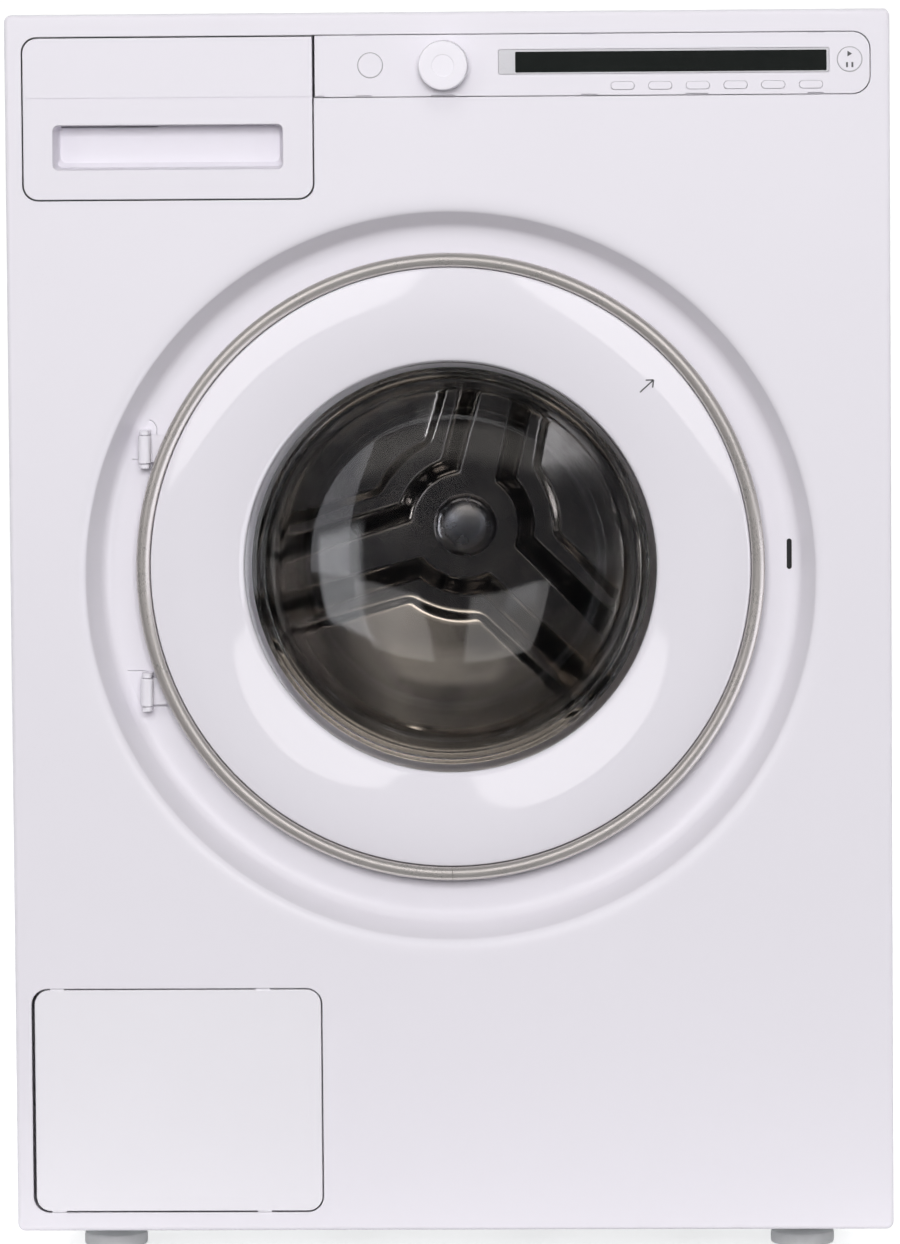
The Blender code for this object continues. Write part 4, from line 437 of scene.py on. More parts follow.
def front_box(name, gap=0.0):
    """Left, right, bottom and top of a node, and its near and far depth, drawn in by a gap."""
    low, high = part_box(name)
    return (low[0] + gap, high[0] - gap, low[2] + gap, high[2] - gap), low[1] + gap, high[1] - gap


def middle_of(name):
    """Middle of a node, seen from the front."""
    low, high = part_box(name)
    return (low[0] + high[0]) / 2, (low[2] + high[2]) / 2


def turns_of(steps, first=0.0, last=math.tau):
    """Angles from the first to the last, both included."""
    return [first + (last - first) * i / steps for i in range(steps + 1)]


def outline_box(left, right, bottom, top, radius, steps=8, square=()):
    """Corner-rounded rectangle; each corner has as many points as the others, so that it can be lofted."""
    corners = (("BR", right, bottom, -90), ("TR", right, top, 0), ("TL", left, top, 90),
               ("BL", left, bottom, 180))
    points = []
    for tag, x, z, start in corners:
        r = min(radius, 0.0003) if tag in square else radius
        cx = x - r if tag in ("BR", "TR") else x + r
        cz = z - r if tag in ("TR", "TL") else z + r
        for i in range(steps + 1):
            a = math.radians(start + 90 * i / steps)
            points.append((cx + r * math.cos(a), cz + r * math.sin(a)))
    return points


def circle(x, z, radius, count=64):
    return [(x + radius * math.cos(math.tau * i / count), z + radius * math.sin(math.tau * i / count))
            for i in range(count)]


def loft(sections):
    """Closed skin over outlines of equal count; a section is (outline, y), or a list of 3-D points."""
    form = bmesh.new()
    loops = []
    for section in sections:
        if isinstance(section, tuple):
            outline, y = section
            loops.append([form.verts.new((x, y, z)) for x, z in outline])
        else:
            loops.append([form.verts.new(point) for point in section])
    for here, there in zip(loops, loops[1:]):
        for i in range(len(here)):
            j = (i + 1) % len(here)
            form.faces.new((here[i], here[j], there[j], there[i]))
    form.faces.new(loops[0])
    form.faces.new(reversed(loops[-1]))
    bmesh.ops.recalc_face_normals(form, faces=form.faces)
    return form


def prism(outline, near, far):
    return loft([(outline, near), (outline, far)])


def standing_prism(outline, low, high):
    """Prism along Z over an outline of X and depth."""
    return loft([[(x, depth(d), z) for x, d in outline] for z in (low, high)])


def bar(left, right, bottom, top, near, far, radius=0.0002, steps=2):
    """Small block with eased corners between two depths."""
    return prism(outline_box(left, right, bottom, top, radius, steps), depth(near), depth(far))


def plate(box, radius, near, far, edge, steps=4, square=()):
    """Rounded plate with a rolled front edge; the box is (left, right, bottom, top)."""
    sections = []
    for i in range(steps + 1):
        a = math.pi / 2 * i / steps
        inset = edge * (1 - math.sin(a))
        y = near + edge * (1 - math.cos(a))
        r = max(radius - inset, 0.0001)
        sections.append((outline_box(*grown(box, -inset), r, square=square), y))
    sections.append((outline_box(*box, radius, square=square), far))
    return loft(sections)


def slot_tool(box, radius, near, far, chamfer=0.0005, square=()):
    """Cutting form for an opening with a small chamfer at the front."""
    ahead = 0.0002
    sections = [(outline_box(*grown(box, grow), radius + grow, square=square), y)
                for grow, y in ((chamfer + ahead, near - ahead), (0.0, near + chamfer))]
    sections.append((outline_box(*box, radius, square=square), far))
    return loft(sections)


def lathe(profile, centre, count, closed=False):
    """Profile of (radius, y) turned about an axis along Y through the centre (x, z)."""
    form = bmesh.new()
    loops = []
    for i in range(count):
        a = math.tau * i / count
        loops.append([form.verts.new((centre[0] + r * math.cos(a), y, centre[1] + r * math.sin(a)))
                      for r, y in profile])
    spans = len(profile) if closed else len(profile) - 1
    for here, there in zip(loops, loops[1:] + loops[:1]):
        for k in range(spans):
            m = (k + 1) % len(profile)
            form.faces.new((here[k], here[m], there[m], there[k]))
    bmesh.ops.remove_doubles(form, verts=form.verts, dist=1e-6)
    bmesh.ops.dissolve_degenerate(form, edges=form.edges, dist=1e-7)
    bmesh.ops.recalc_face_normals(form, faces=form.faces)
    return form


def at_depths(profile):
    """Profile of (radius, depth) as one of (radius, y)."""
    return [(r, depth(d)) for r, d in profile]


def bend(first, corner, last, steps=6):
    """Points of a smooth corner between two ends."""
    points = []
    for i in range(steps + 1):
        t = i / steps
        points.append(tuple(a * (1 - t) ** 2 + 2 * c * t * (1 - t) + b * t * t
                            for a, c, b in zip(first, corner, last)))
    return points


def smooth_line(points, steps=6):
    """Open Catmull-Rom curve through points."""
    result = []
    last = len(points) - 1
    for i in range(last):
        p0 = Vector(points[max(i - 1, 0)])
        p1 = Vector(points[i])
        p2 = Vector(points[i + 1])
        p3 = Vector(points[min(i + 2, last)])
        for k in range(steps):
            t = k / steps
            result.append(tuple(0.5 * (2 * p1 + (p2 - p0) * t + (2 * p0 - 5 * p1 + 4 * p2 - p3) * t * t
                                       + (3 * p1 - p0 - 3 * p2 + p3) * t ** 3)))
    result.append(tuple(points[-1]))
    return result


def moved(form, offset):
    bmesh.ops.translate(form, verts=form.verts, vec=Vector(offset))
    return form


def turned(form, angle, axis):
    """A form turned about an axis through the origin."""
    bmesh.ops.rotate(form, verts=form.verts, cent=Vector(), matrix=Matrix.Rotation(angle, 3, axis))
    return form


def scattered(name, seed_mesh, places, look, body, angle=32.0):
    """One small form set at many places by a Geometry Nodes tree, then worked into a plain mesh.

    A place is (point, turn about Y in radians, tilt about X, scale).
    """
    points = bpy.data.meshes.new(name + "_points")
    points.from_pydata([p for p, *_ in places], [], [])
    for label, kind in (("turn", "FLOAT_VECTOR"), ("size", "FLOAT")):
        points.attributes.new(label, kind, "POINT")
    for i, (_, turn, tilt, size) in enumerate(places):
        points.attributes["turn"].data[i].vector = (tilt, turn, 0.0)
        points.attributes["size"].data[i].value = size
    made = linked(name, points)
    seed = linked(name + "_seed", seed_mesh)
    tree = bpy.data.node_groups.new(name + "_set", "GeometryNodeTree")
    tree.is_modifier = True
    faces = tree.interface
    faces.new_socket(name="Geometry", in_out="INPUT", socket_type="NodeSocketGeometry")
    form_in = faces.new_socket(name="Form", in_out="INPUT", socket_type="NodeSocketObject")
    look_in = faces.new_socket(name="Finish", in_out="INPUT", socket_type="NodeSocketMaterial")
    faces.new_socket(name="Geometry", in_out="OUTPUT", socket_type="NodeSocketGeometry")
    start = tree.nodes.new("NodeGroupInput")
    end = tree.nodes.new("NodeGroupOutput")
    info = tree.nodes.new("GeometryNodeObjectInfo")
    setting_out = tree.nodes.new("GeometryNodeInstanceOnPoints")
    turn, size = (tree.nodes.new("GeometryNodeInputNamedAttribute") for _ in range(2))
    for node, label, kind in ((turn, "turn", "FLOAT_VECTOR"), (size, "size", "FLOAT")):
        node.data_type = kind
        node.inputs["Name"].default_value = label
    as_turn = tree.nodes.new("FunctionNodeEulerToRotation")
    solid = tree.nodes.new("GeometryNodeRealizeInstances")
    paint = tree.nodes.new("GeometryNodeSetMaterial")
    link = tree.links.new
    link(start.outputs["Form"], info.inputs["Object"])
    link(start.outputs["Geometry"], setting_out.inputs["Points"])
    link(info.outputs["Geometry"], setting_out.inputs["Instance"])
    link(turn.outputs["Attribute"], as_turn.inputs["Euler"])
    link(as_turn.outputs["Rotation"], setting_out.inputs["Rotation"])
    link(size.outputs["Attribute"], setting_out.inputs["Scale"])
    link(setting_out.outputs["Instances"], solid.inputs["Geometry"])
    link(solid.outputs["Geometry"], paint.inputs["Geometry"])
    link(start.outputs["Finish"], paint.inputs["Material"])
    link(paint.outputs["Geometry"], end.inputs["Geometry"])
    step = made.modifiers.new("set", "NODES")
    step.node_group = tree
    step[form_in.identifier] = seed
    step[look_in.identifier] = look
    bpy.context.view_layer.update()
    settle(made)
    bpy.data.objects.remove(seed)
    bpy.data.node_groups.remove(tree)
    mesh = made.data
    mesh.shade_smooth()
    mesh.set_sharp_from_angle(angle=math.radians(angle))
    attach(made, body)
    return made


# Front panel
def ray_reach(angle, outline, centre):
    """Distance from the centre to a closed outline along a ray."""
    dx, dz = math.cos(angle), math.sin(angle)
    reach = 0.0
    for (u0, v0), (u1, v1) in zip(outline, outline[1:] + outline[:1]):
        a = (u0 - centre[0], v0 - centre[1])
        b = (u1 - centre[0], v1 - centre[1])
        side_a = dx * a[1] - dz * a[0]
        side_b = dx * b[1] - dz * b[0]
        if side_a == side_b:
            continue
        share = side_a / (side_a - side_b)
        if -1e-6 <= share <= 1 + 1e-6:
            reach = max(reach, (a[0] + share * (b[0] - a[0])) * dx + (a[1] + share * (b[1] - a[1])) * dz)
    return reach


def panel_edge(inset):
    radius = max(setting("panel").corner - inset, 0.0006)
    box = (panel_low[0], panel_high[0], panel_low[2], panel_high[2])
    return outline_box(*grown(box, -inset), radius, steps=5)


def panel_rows():
    """Rows of the pressed sheet from the folded edge over the recess to the door opening and back."""
    panel = setting("panel")
    fold, sheet, recess, opening = panel.fold, panel.sheet, panel.recess, panel.opening
    shoulder = 0.0035
    rows = [("box", 0.0, panel.flange)]
    rows += [("box", fold * (1 - math.cos(a)), fold * (1 - math.sin(a)))
             for a in turns_of(6, 0.0, math.pi / 2)]
    rows.append(("box", fold + 0.0008, 0.0))
    rows.append(("rim", panel.flat + 0.0010, 0.0))
    lean = (panel.rim - panel.wall) / 0.020
    knee = panel.rim + shoulder * lean
    rows += [("rim", r, d) for r, d in bend((panel.flat, 0.0), (knee, 0.0), (panel.rim, shoulder), 10)]
    foot = recess - 0.0065
    wall = panel.wall + 0.0018
    for i in range(1, 5):
        t = i / 5
        rows.append(("rim", panel.rim + (wall - panel.rim) * t, shoulder + (foot - shoulder) * t))
    rows += [("rim", r, d) for r, d in bend((wall, foot), (panel.wall - 0.0008, recess),
                                            (panel.floor - 0.0065, recess), 9)]
    rows.append(("rim", panel.floor - 0.0080, recess))
    lip_radius = 0.0022
    rows.append(("door", opening + lip_radius + 0.0010, recess))
    rows += [("door", r, d) for r, d in bend((opening + lip_radius, recess), (opening, recess),
                                             (opening, recess + lip_radius), 4)]
    lip = recess + 0.008
    rows += [("door", opening, lip), ("door", opening + sheet, lip),
             ("door", opening + sheet, recess + sheet),
             ("rim", panel.floor + sheet / 2, recess + sheet), ("rim", panel.wall + sheet, recess - 0.0018),
             ("rim", panel.rim + sheet, shoulder + sheet / 2), ("rim", panel.flat, sheet),
             ("box", fold, sheet),
             ("box", sheet, fold), ("box", sheet, panel.flange)]
    return rows


def panel_form():
    """Sheet as rays from the recess centre, with one ray through each point of the outer corners."""
    panel = setting("panel")
    centre = (door_x, door_z - panel.drop)
    corners = [math.atan2(z - centre[1], x - centre[0]) % math.tau for x, z in panel_edge(0.0)]
    regular = [math.tau * i / panel.spokes for i in range(panel.spokes)]
    near = math.tau / panel.spokes / 5
    angles = sorted(corners + [a for a in regular if min(abs(a - c) for c in corners) > near])
    rows = panel_rows()
    edges = {size: panel_edge(size) for kind, size, _ in rows if kind == "box"}
    form = bmesh.new()
    loops = []
    for a in angles:
        loop = []
        for kind, size, back in rows:
            reach = ray_reach(a, edges[size], centre) if kind == "box" else size
            middle = door_z if kind == "door" else centre[1]
            loop.append(form.verts.new((centre[0] + reach * math.cos(a), depth(back),
                                        middle + reach * math.sin(a))))
        loops.append(loop)
    for here, there in zip(loops, loops[1:] + loops[:1]):
        for k in range(len(rows)):
            m = (k + 1) % len(rows)
            form.faces.new((here[k], here[m], there[m], there[k]))
    bmesh.ops.recalc_face_normals(form, faces=form.faces)
    return form


def build_front_panel():
    """Pressed sheet with its openings for drawer, control strip, hatch, lock and hinge."""
    panel = setting("panel")
    near, far = depth(0.0), depth(panel.sheet + overrun)
    seam, swing, close = panel.seam, panel.swing, hair / 2
    (left, right, bottom, top), _, _ = front_box("drawer_front")
    around_drawer = (left - seam, right + seam, bottom - seam, top + seam)
    tools = [slot_tool(around_drawer, 0.0105, near, far, square=("TR",))]
    (_, strip_end, bottom, top), _, _ = front_box("control_fascia")
    tools.append(slot_tool((right, strip_end + close, bottom - close, top + close), 0.0122, near, far,
                           square=("TL", "BL")))
    (left, right, bottom, top), _, _ = front_box("service_hatch")
    tools.append(slot_tool((left - swing, right + seam, bottom - seam, top + seam), 0.0110, near, far))
    floor = depth(panel.recess)
    behind = depth(panel.recess + panel.sheet + overrun)
    lock_slot = (0.2275, 0.2309, 0.4714, 0.4922)
    tools.append(slot_tool(lock_slot, 0.0017, depth(panel.recess - 0.004), behind, 0.0001))
    latch_hole = (0.192 - 0.0065, 0.192 + 0.0065, door_z - 0.010, door_z + 0.010)
    tools.append(slot_tool(latch_hole, 0.001, floor, behind, 0.0003))
    for left, right, bottom, top in pad_boxes():
        tools.append(slot_tool((left, right + hair, bottom - hair, top + hair), 0.0072, floor, behind, 0.0002,
                               square=("TL", "BL")))
    finished("front_sheet", carved(panel_form(), tools), enamel(), "cabinet", ["front_panel"],
             angle=25.0)


# Door
def build_door_rings():
    """Rounded steel hoop with its seam at the bottom, and the glossy white ring inside it."""
    door = setting("door")
    outer, inner, opening = door.trim_outer, door.trim_inner, door.glass
    middle = (outer + inner) / 2
    half = (outer - inner) / 2
    crown = depth(door.crown)
    spring = depth(door.crown + half * 0.75)
    back = depth(0.0203)
    ease, step = 0.0004, 0.0012
    profile = [(outer - ease, back), (outer, back - ease)]
    profile += [(middle + half * math.cos(a), spring + (crown - spring) * math.sin(a) ** 0.8)
                for a in turns_of(12, 0.0, math.pi)]
    profile += [(inner, depth(0.0125)), (inner + step, depth(0.0125)), (inner + step, back)]
    form = lathe(profile, door_centre, door.turns * 2, closed=True)
    seam = bar(-0.0002, 0.0002, door_z - outer - 0.002, door_z - inner + 0.002, 0.004, 0.0075, 0.0001)
    finished("door_hoop", carved(form, [seam]), trim_steel(), "door", ["door_trim_ring"])
    edge = inner - 0.0005
    edge_line = [(edge, 0.0160), (edge, 0.0099), (edge - 0.0004, 0.0093)]
    crowned = [(edge - 0.0012, 0.0090), (0.196, 0.0078), (0.188, 0.0067), (0.180, 0.0062), (0.171, 0.0064),
               (0.160, 0.0077), (0.150, 0.0096), (0.1445, 0.0108), (0.1418, 0.0116), (0.1404, 0.0124),
               (opening, 0.0138)]
    back_line = [(opening, 0.0160), (opening + 0.003, 0.0160), (opening + 0.003, 0.0145), (0.180, 0.0092),
                 (edge - 0.003, 0.0120), (edge - 0.003, 0.0160)]
    line = at_depths(edge_line) + smooth_line(at_depths(crowned), 4) + at_depths(back_line)
    finished("door_face", lathe(line, door_centre, door.turns, closed=True), gloss_moulding(), "door",
             ["door_front_ring"], angle=45.0)
    build_arrow()


def build_arrow():
    """Small plain arrow moulded in grey where a hand pulls the door."""
    lean = math.radians(42.5)
    distance, half_length, width = 0.181, 0.0062, 0.0009
    along = Vector((math.cos(lean), 0, math.sin(lean)))
    side = Vector((-along.z, 0, along.x))
    spot = Vector((door_x, 0, door_z)) + distance * along
    spot.y = depth(0.0062)
    tip = (0, 1)
    marks = []
    for tail in ((0, -1), (-0.55, 0.35), (0.55, 0.35)):
        a, b = (spot + half_length * (along * up + side * across) for across, up in (tip, tail))
        marks.append(flat_stroke(a, b, width, 0.0005))
    finished("door_arrow", merge(marks), sign_grey(), "door", weighted=False)


def flat_stroke(a, b, width, thickness):
    """Thin bar between two points of the front, its face towards the front."""
    along = (b - a).normalized()
    side = Vector((-along.z, 0, along.x)) * width / 2
    near = Vector((0, -thickness / 2, 0))
    return loft([[p + y for p in (a - side, b - side, b + side, a + side)] for y in (near, -near)])


def build_door_glass():
    """Pressed bowl: a flat flange, a rolled rim that shows as bright rings, and a deep smooth nose."""
    flange_front = [(0.1446, 0.0168), (0.1392, 0.0168)]
    front = [(0.1382, 0.0170), (0.1368, 0.0182), (0.1352, 0.0200), (0.1337, 0.0208), (0.1322, 0.0216),
             (0.1304, 0.0240), (0.1285, 0.0275), (0.1265, 0.0330), (0.1238, 0.0460), (0.1205, 0.0640),
             (0.1165, 0.0790), (0.1090, 0.0925), (0.0970, 0.1035), (0.0800, 0.1115), (0.0560, 0.1172),
             (0.0290, 0.1199), (0.0, 0.1206)]
    rear = [(0.0, 0.1243), (0.0295, 0.1236), (0.0575, 0.1209), (0.0825, 0.1151), (0.1002, 0.1066),
            (0.1124, 0.0948), (0.1200, 0.0798), (0.1240, 0.0646), (0.1273, 0.0466), (0.1300, 0.0338),
            (0.1318, 0.0288), (0.1340, 0.0252), (0.1368, 0.0222), (0.1392, 0.0203)]
    flange_rear = [(0.1446, 0.0199)]
    points = at_depths(flange_front + smooth_line(front, 4) + smooth_line(rear, 4) + flange_rear)
    finished("door_bowl", lathe(points, door_centre, setting("door").turns, closed=True), door_glass_finish(),
             "door", ["door_glass"], angle=40.0, weighted=False)


def build_door_inside():
    """Frame behind the rings with its stiffening ribs, screws, latch hook and the lip seal."""
    turns = 160
    section = [(0.2109, 0.0166), (0.1452, 0.0166), (0.1452, 0.0203), (0.1700, 0.0203), (0.1706, 0.0210),
               (0.1706, 0.0425), (0.1695, 0.0431), (0.1340, 0.0431), (0.1335, 0.0437), (0.1335, 0.0455),
               (0.1341, 0.0459), (0.1722, 0.0459), (0.1734, 0.0447), (0.1734, 0.0215), (0.1745, 0.0204),
               (0.2103, 0.0204), (0.2109, 0.0198)]
    hook = [(0.1886, 0.0195), (0.1914, 0.0195), (0.1914, 0.0362), (0.1954, 0.0362), (0.1954, 0.0372),
            (0.1922, 0.0403), (0.1886, 0.0403)]
    hook_half = 0.0069
    parts = [lathe(at_depths(section), door_centre, turns, closed=True),
             standing_prism(hook, door_z - hook_half, door_z + hook_half)]
    finished("door_frame_moulding", merge(parts), white_moulding(), "door", ["door_inner_frame"])
    lip = [(0.1608, 0.0464), (0.1608, 0.0476), (0.1622, 0.0480), (0.1636, 0.0492), (0.1650, 0.0508),
           (0.1666, 0.0512), (0.1684, 0.0512), (0.1697, 0.0505), (0.1706, 0.0490), (0.1714, 0.0477),
           (0.1719, 0.0464)]
    finished("door_lip_seal", lathe(at_depths(lip), door_centre, turns, closed=True), rubber(), "door",
             ["door_seal"])
    build_frame_ribs()


def build_frame_ribs():
    """Ribs and screws round the door's frame, clear of the hook and of the hinge leaf."""
    plate_depth = 0.0203
    half_width, half_length, rise = 0.0008, 0.0160, 0.0030
    outline = outline_box(-half_width, half_width, -half_length, half_length, 0.0004, 2)
    rib_count, rib_radius, hook_gap, leaf_gap = 36, 0.192, 0.12, 0.62
    places = []
    for i in range(rib_count):
        a = math.tau * (i + 0.5) / rib_count
        if min(a, math.tau - a) < hook_gap or abs(a - math.pi) < leaf_gap:
            continue
        point = (door_x + rib_radius * math.cos(a), depth(plate_depth), door_z + rib_radius * math.sin(a))
        places.append((point, math.pi / 2 - a, 0.0, 1.0))
    scattered("door_frame_ribs", mesh_of(prism(outline, 0.0, rise)), places, white_moulding(), "door")
    screw_count, screw_radius, screw_gap, screw_scale = 10, 0.1925, 0.6, 0.8
    places = []
    for i in range(screw_count):
        a = math.tau * (i + 0.35) / screw_count
        if abs(a - math.pi) < screw_gap:
            continue
        point = (door_x + screw_radius * math.cos(a), depth(plate_depth + 0.0001),
                 door_z + screw_radius * math.sin(a))
        places.append((point, a, math.pi, screw_scale))
    scattered("door_frame_screws", screw_mesh(), places, zinc(), "door")


def screw_mesh():
    """Pan-head screw with a cross recess; its head faces -Y from the origin."""
    head = lathe([(0.0, -0.0019), (0.0012, -0.0019), (0.0024, -0.0016), (0.0033, -0.0009), (0.0035, -0.0003),
                  (0.0035, 0.0004), (0.0, 0.0004)], (0.0, 0.0), 20)
    mouth = (outline_box(-0.0020, 0.0020, -0.0004, 0.0004, 0.0001, 1), -0.003)
    bottom = (outline_box(-0.0012, 0.0012, -0.0002, 0.0002, 0.0001, 1), -0.0008)
    return mesh_of(carved(head, [turned(loft([mouth, bottom]), turn, "Y") for turn in (0.0, math.pi / 2)]))


def pad_boxes():
    """Places of the two hinge pads in the recess floor, as left, right, bottom and top."""
    pad_width, half_height = 0.0190, 0.0134
    return [(right - pad_width, right, middle - half_height, middle + half_height)
            for middle, right in ((door_z + 0.0870, -0.1990), (door_z - 0.0841, -0.2025))]


def build_hinge():
    """Leaf with its two slim knuckles on the door, and the bracket's pads, ears and pins that hold them."""
    x, axle_depth = -0.2065, 0.0125
    heights = (door_z + 0.081, door_z - 0.084)
    finished("hinge_leaf", hinge_leaf(x, axle_depth, heights), enamel(), "door", ["door_hinge_leaf"])
    box, _, _ = front_box("hinge_bracket")
    parts = [bar(*box, 0.0276, 0.0295, 0.004, 5)]
    for pad in pad_boxes():
        parts.append(plate(pad, 0.0070, depth(0.0259), depth(0.0277), 0.0004, square=("TL", "BL")))
    ear_radius, ear_thickness, ear_foot = 0.0034, 0.0028, 0.0262
    pin_radius, pin_half = 0.0016, 0.0122
    knuckle_half = 0.0095 + 0.0005
    ear = [(x - ear_radius, ear_foot), (x + ear_radius, ear_foot)]
    ear += [(x + ear_radius * math.cos(a), axle_depth - ear_radius * math.sin(a))
            for a in turns_of(12, 0.0, math.pi)]
    for z in heights:
        for base in (z + knuckle_half, z - knuckle_half - ear_thickness):
            parts.append(standing_prism(ear, base, base + ear_thickness))
        pin = lathe([(0.0, -pin_half), (pin_radius, -pin_half), (pin_radius, pin_half), (0.0, pin_half)],
                    (0.0, 0.0), 20)
        parts.append(moved(turned(pin, math.pi / 2, "X"), (x, depth(axle_depth), z)))
    finished("hinge_ears", merge(parts), enamel(), "cabinet", ["hinge_bracket"])


def hinge_leaf(x, axle_depth, heights):
    """Curved leaf behind the frame with an arm and a knuckle at each height."""
    leaf_near, leaf_far = 0.0208, 0.0241
    spread = 0.50
    outside = turns_of(24, math.pi + spread, math.pi - spread)
    arc = [(door_x + 0.2032 * math.cos(a), door_z + 0.2032 * math.sin(a)) for a in outside]
    arc += [(door_x + 0.1768 * math.cos(a), door_z + 0.1768 * math.sin(a)) for a in reversed(outside)]
    parts = [prism(arc, depth(leaf_near), depth(leaf_far))]
    barrel = [(0.0018, -0.0095), (0.0036, -0.0095), (0.0042, -0.0090), (0.0042, 0.0090), (0.0036, 0.0095),
              (0.0018, 0.0095)]
    arm = [(x - 0.0002, 0.0145), (x + 0.0036, 0.0145), (x + 0.0040, 0.0206), (x + 0.0290, 0.0206),
           (x + 0.0290, leaf_far), (x, leaf_far)]
    arm_half = 0.0092
    for z in heights:
        knuckle = turned(lathe(barrel, (0.0, 0.0), 28, closed=True), math.pi / 2, "X")
        parts.append(moved(knuckle, (x, depth(axle_depth), z)))
        parts.append(standing_prism(arm, z - arm_half, z + arm_half))
    return merge(parts)


# Drum
drum_first = math.radians(76.0)
drum_front, drum_back = 0.0922, 0.4048
drum_outside, drum_sheet = 0.2398, 0.0008
drum_fold = 0.0012
star_rise = 0.0105


def step_between(value, low, high):
    t = min(max((value - low) / (high - low), 0.0), 1.0)
    return t * t * (3 - 2 * t)


def soft_min(a, b, k):
    h = max(k - abs(a - b), 0.0) / k
    return min(a, b) - h * h * k / 4


def sector_sides(x, z):
    """Distance to each arm's middle line; an arm behind the hub counts from the hub."""
    sides = []
    for k in range(3):
        a = drum_first + math.tau * k / 3
        along = x * math.cos(a) + z * math.sin(a)
        aside = abs(-x * math.sin(a) + z * math.cos(a))
        sides.append(math.hypot(aside, along) if along < 0 else aside)
    return sides


def back_relief(x, z):
    """Height of the pressed back towards the mouth: star, hub, and a tilted field in each sector."""
    reach = math.hypot(x, z)
    aside = soft_min(*sorted(sector_sides(x, z))[:2], 0.030)
    star = 1 - step_between(aside, 0.0125, 0.0300)
    hub = 1 - step_between(reach, 0.040, 0.052)
    rim = 1 - step_between(reach, 0.196, 0.216)
    star = max(star, hub) * rim
    field = step_between(aside, 0.0390, 0.0450) * step_between(reach, 0.064, 0.074)
    slope = max(aside - 0.042, 0.0) * 0.12
    return star_rise * star + (0.0022 + slope) * field * rim * (1 - star)


def drum_outer_line():
    """Radius and depth of the drum's outer skin, from the mouth round the wall to the back."""
    front, back, outside, mouth = drum_front, drum_back, drum_outside, 0.1602
    line = [(mouth, front + 0.014)]
    line += bend((mouth, front + 0.012), (mouth, front), (mouth + 0.010, front + 0.0002), 8)
    line += bend((outside - 0.016, front + 0.0008), (outside, front + 0.0012), (outside, front + 0.014), 8)
    line += [(outside, front + 0.020), (outside, back - 0.018)]
    line += bend((outside, back - 0.012), (outside, back - drum_fold), (outside - 0.011, back - drum_fold), 6)
    return line


def drum_inner_line(outer):
    """The same line one sheet further in, on the side of the load."""
    front, back, wall = drum_front, drum_back, drum_sheet
    mouth = outer[0][0]
    inner = []
    for r, d in outer:
        inwards = r > mouth + 0.02 or d > front + 0.002 and r > mouth + 0.004
        at_mouth = r > mouth + 0.0055 and d < front + 0.010
        inner_d = d - wall if d > back - 0.012 else d + wall if at_mouth else d
        inner.append((r - wall if inwards else r + wall, inner_d))
    return inner


def build_drum():
    """Rolled and pressed steel drum with its hub cap, holes and lifters."""
    turns, rings = 240, 110
    base = drum_back - drum_fold
    outer = drum_outer_line()
    inner = drum_inner_line(outer)
    form = bmesh.new()
    loops = []
    for i in range(turns):
        a = math.tau * i / turns
        c, s = math.cos(a), math.sin(a)
        column = [form.verts.new((door_x + r * c, depth(d), door_z + r * s)) for r, d in outer[::-1] + inner]
        for k in range(1, rings):
            r = inner[-1][0] * (1 - k / rings)
            x, z = r * c, r * s
            y = depth(base - drum_sheet - back_relief(x, z))
            column.append(form.verts.new((door_x + x, y, door_z + z)))
        loops.append(column)
    pole = form.verts.new((door_x, depth(base - drum_sheet - back_relief(0.0, 0.0)), door_z))
    far_pole = form.verts.new((door_x, depth(base), door_z))
    for here, there in zip(loops, loops[1:] + loops[:1]):
        for k in range(len(here) - 1):
            form.faces.new((here[k], here[k + 1], there[k + 1], there[k]))
        form.faces.new((here[-1], pole, there[-1]))
        form.faces.new((far_pole, here[0], there[0]))
    bmesh.ops.recalc_face_normals(form, faces=form.faces)
    finished("drum_body", form, drum_steel(), "drum", ["drum_shell"], angle=50.0,
             weighted=False)
    tip = base - drum_sheet - star_rise
    cap = [(0.0, -0.0128), (0.0060, -0.0126), (0.0110, -0.0122), (0.0150, -0.0116), (0.0185, -0.0108),
           (0.0208, -0.0098), (0.0224, -0.0082), (0.0232, -0.0058), (0.0235, -0.0030), (0.0235, 0.0006),
           (0.0, 0.0006)]
    line = [(r, depth(tip + d)) for r, d in cap]
    finished("drum_hub_cap", lathe(line, door_centre, 96), cap_finish(), "drum",
             angle=60.0, weighted=False)
    build_perforations()
    build_lifters()


def cap_finish():
    return finish("hub_cap", (0.84, 0.86, 0.94), 0.26, 0.9, shade=0.03, spread=0.03, patch=30.0, grain=60.0,
                  bump=0.0)


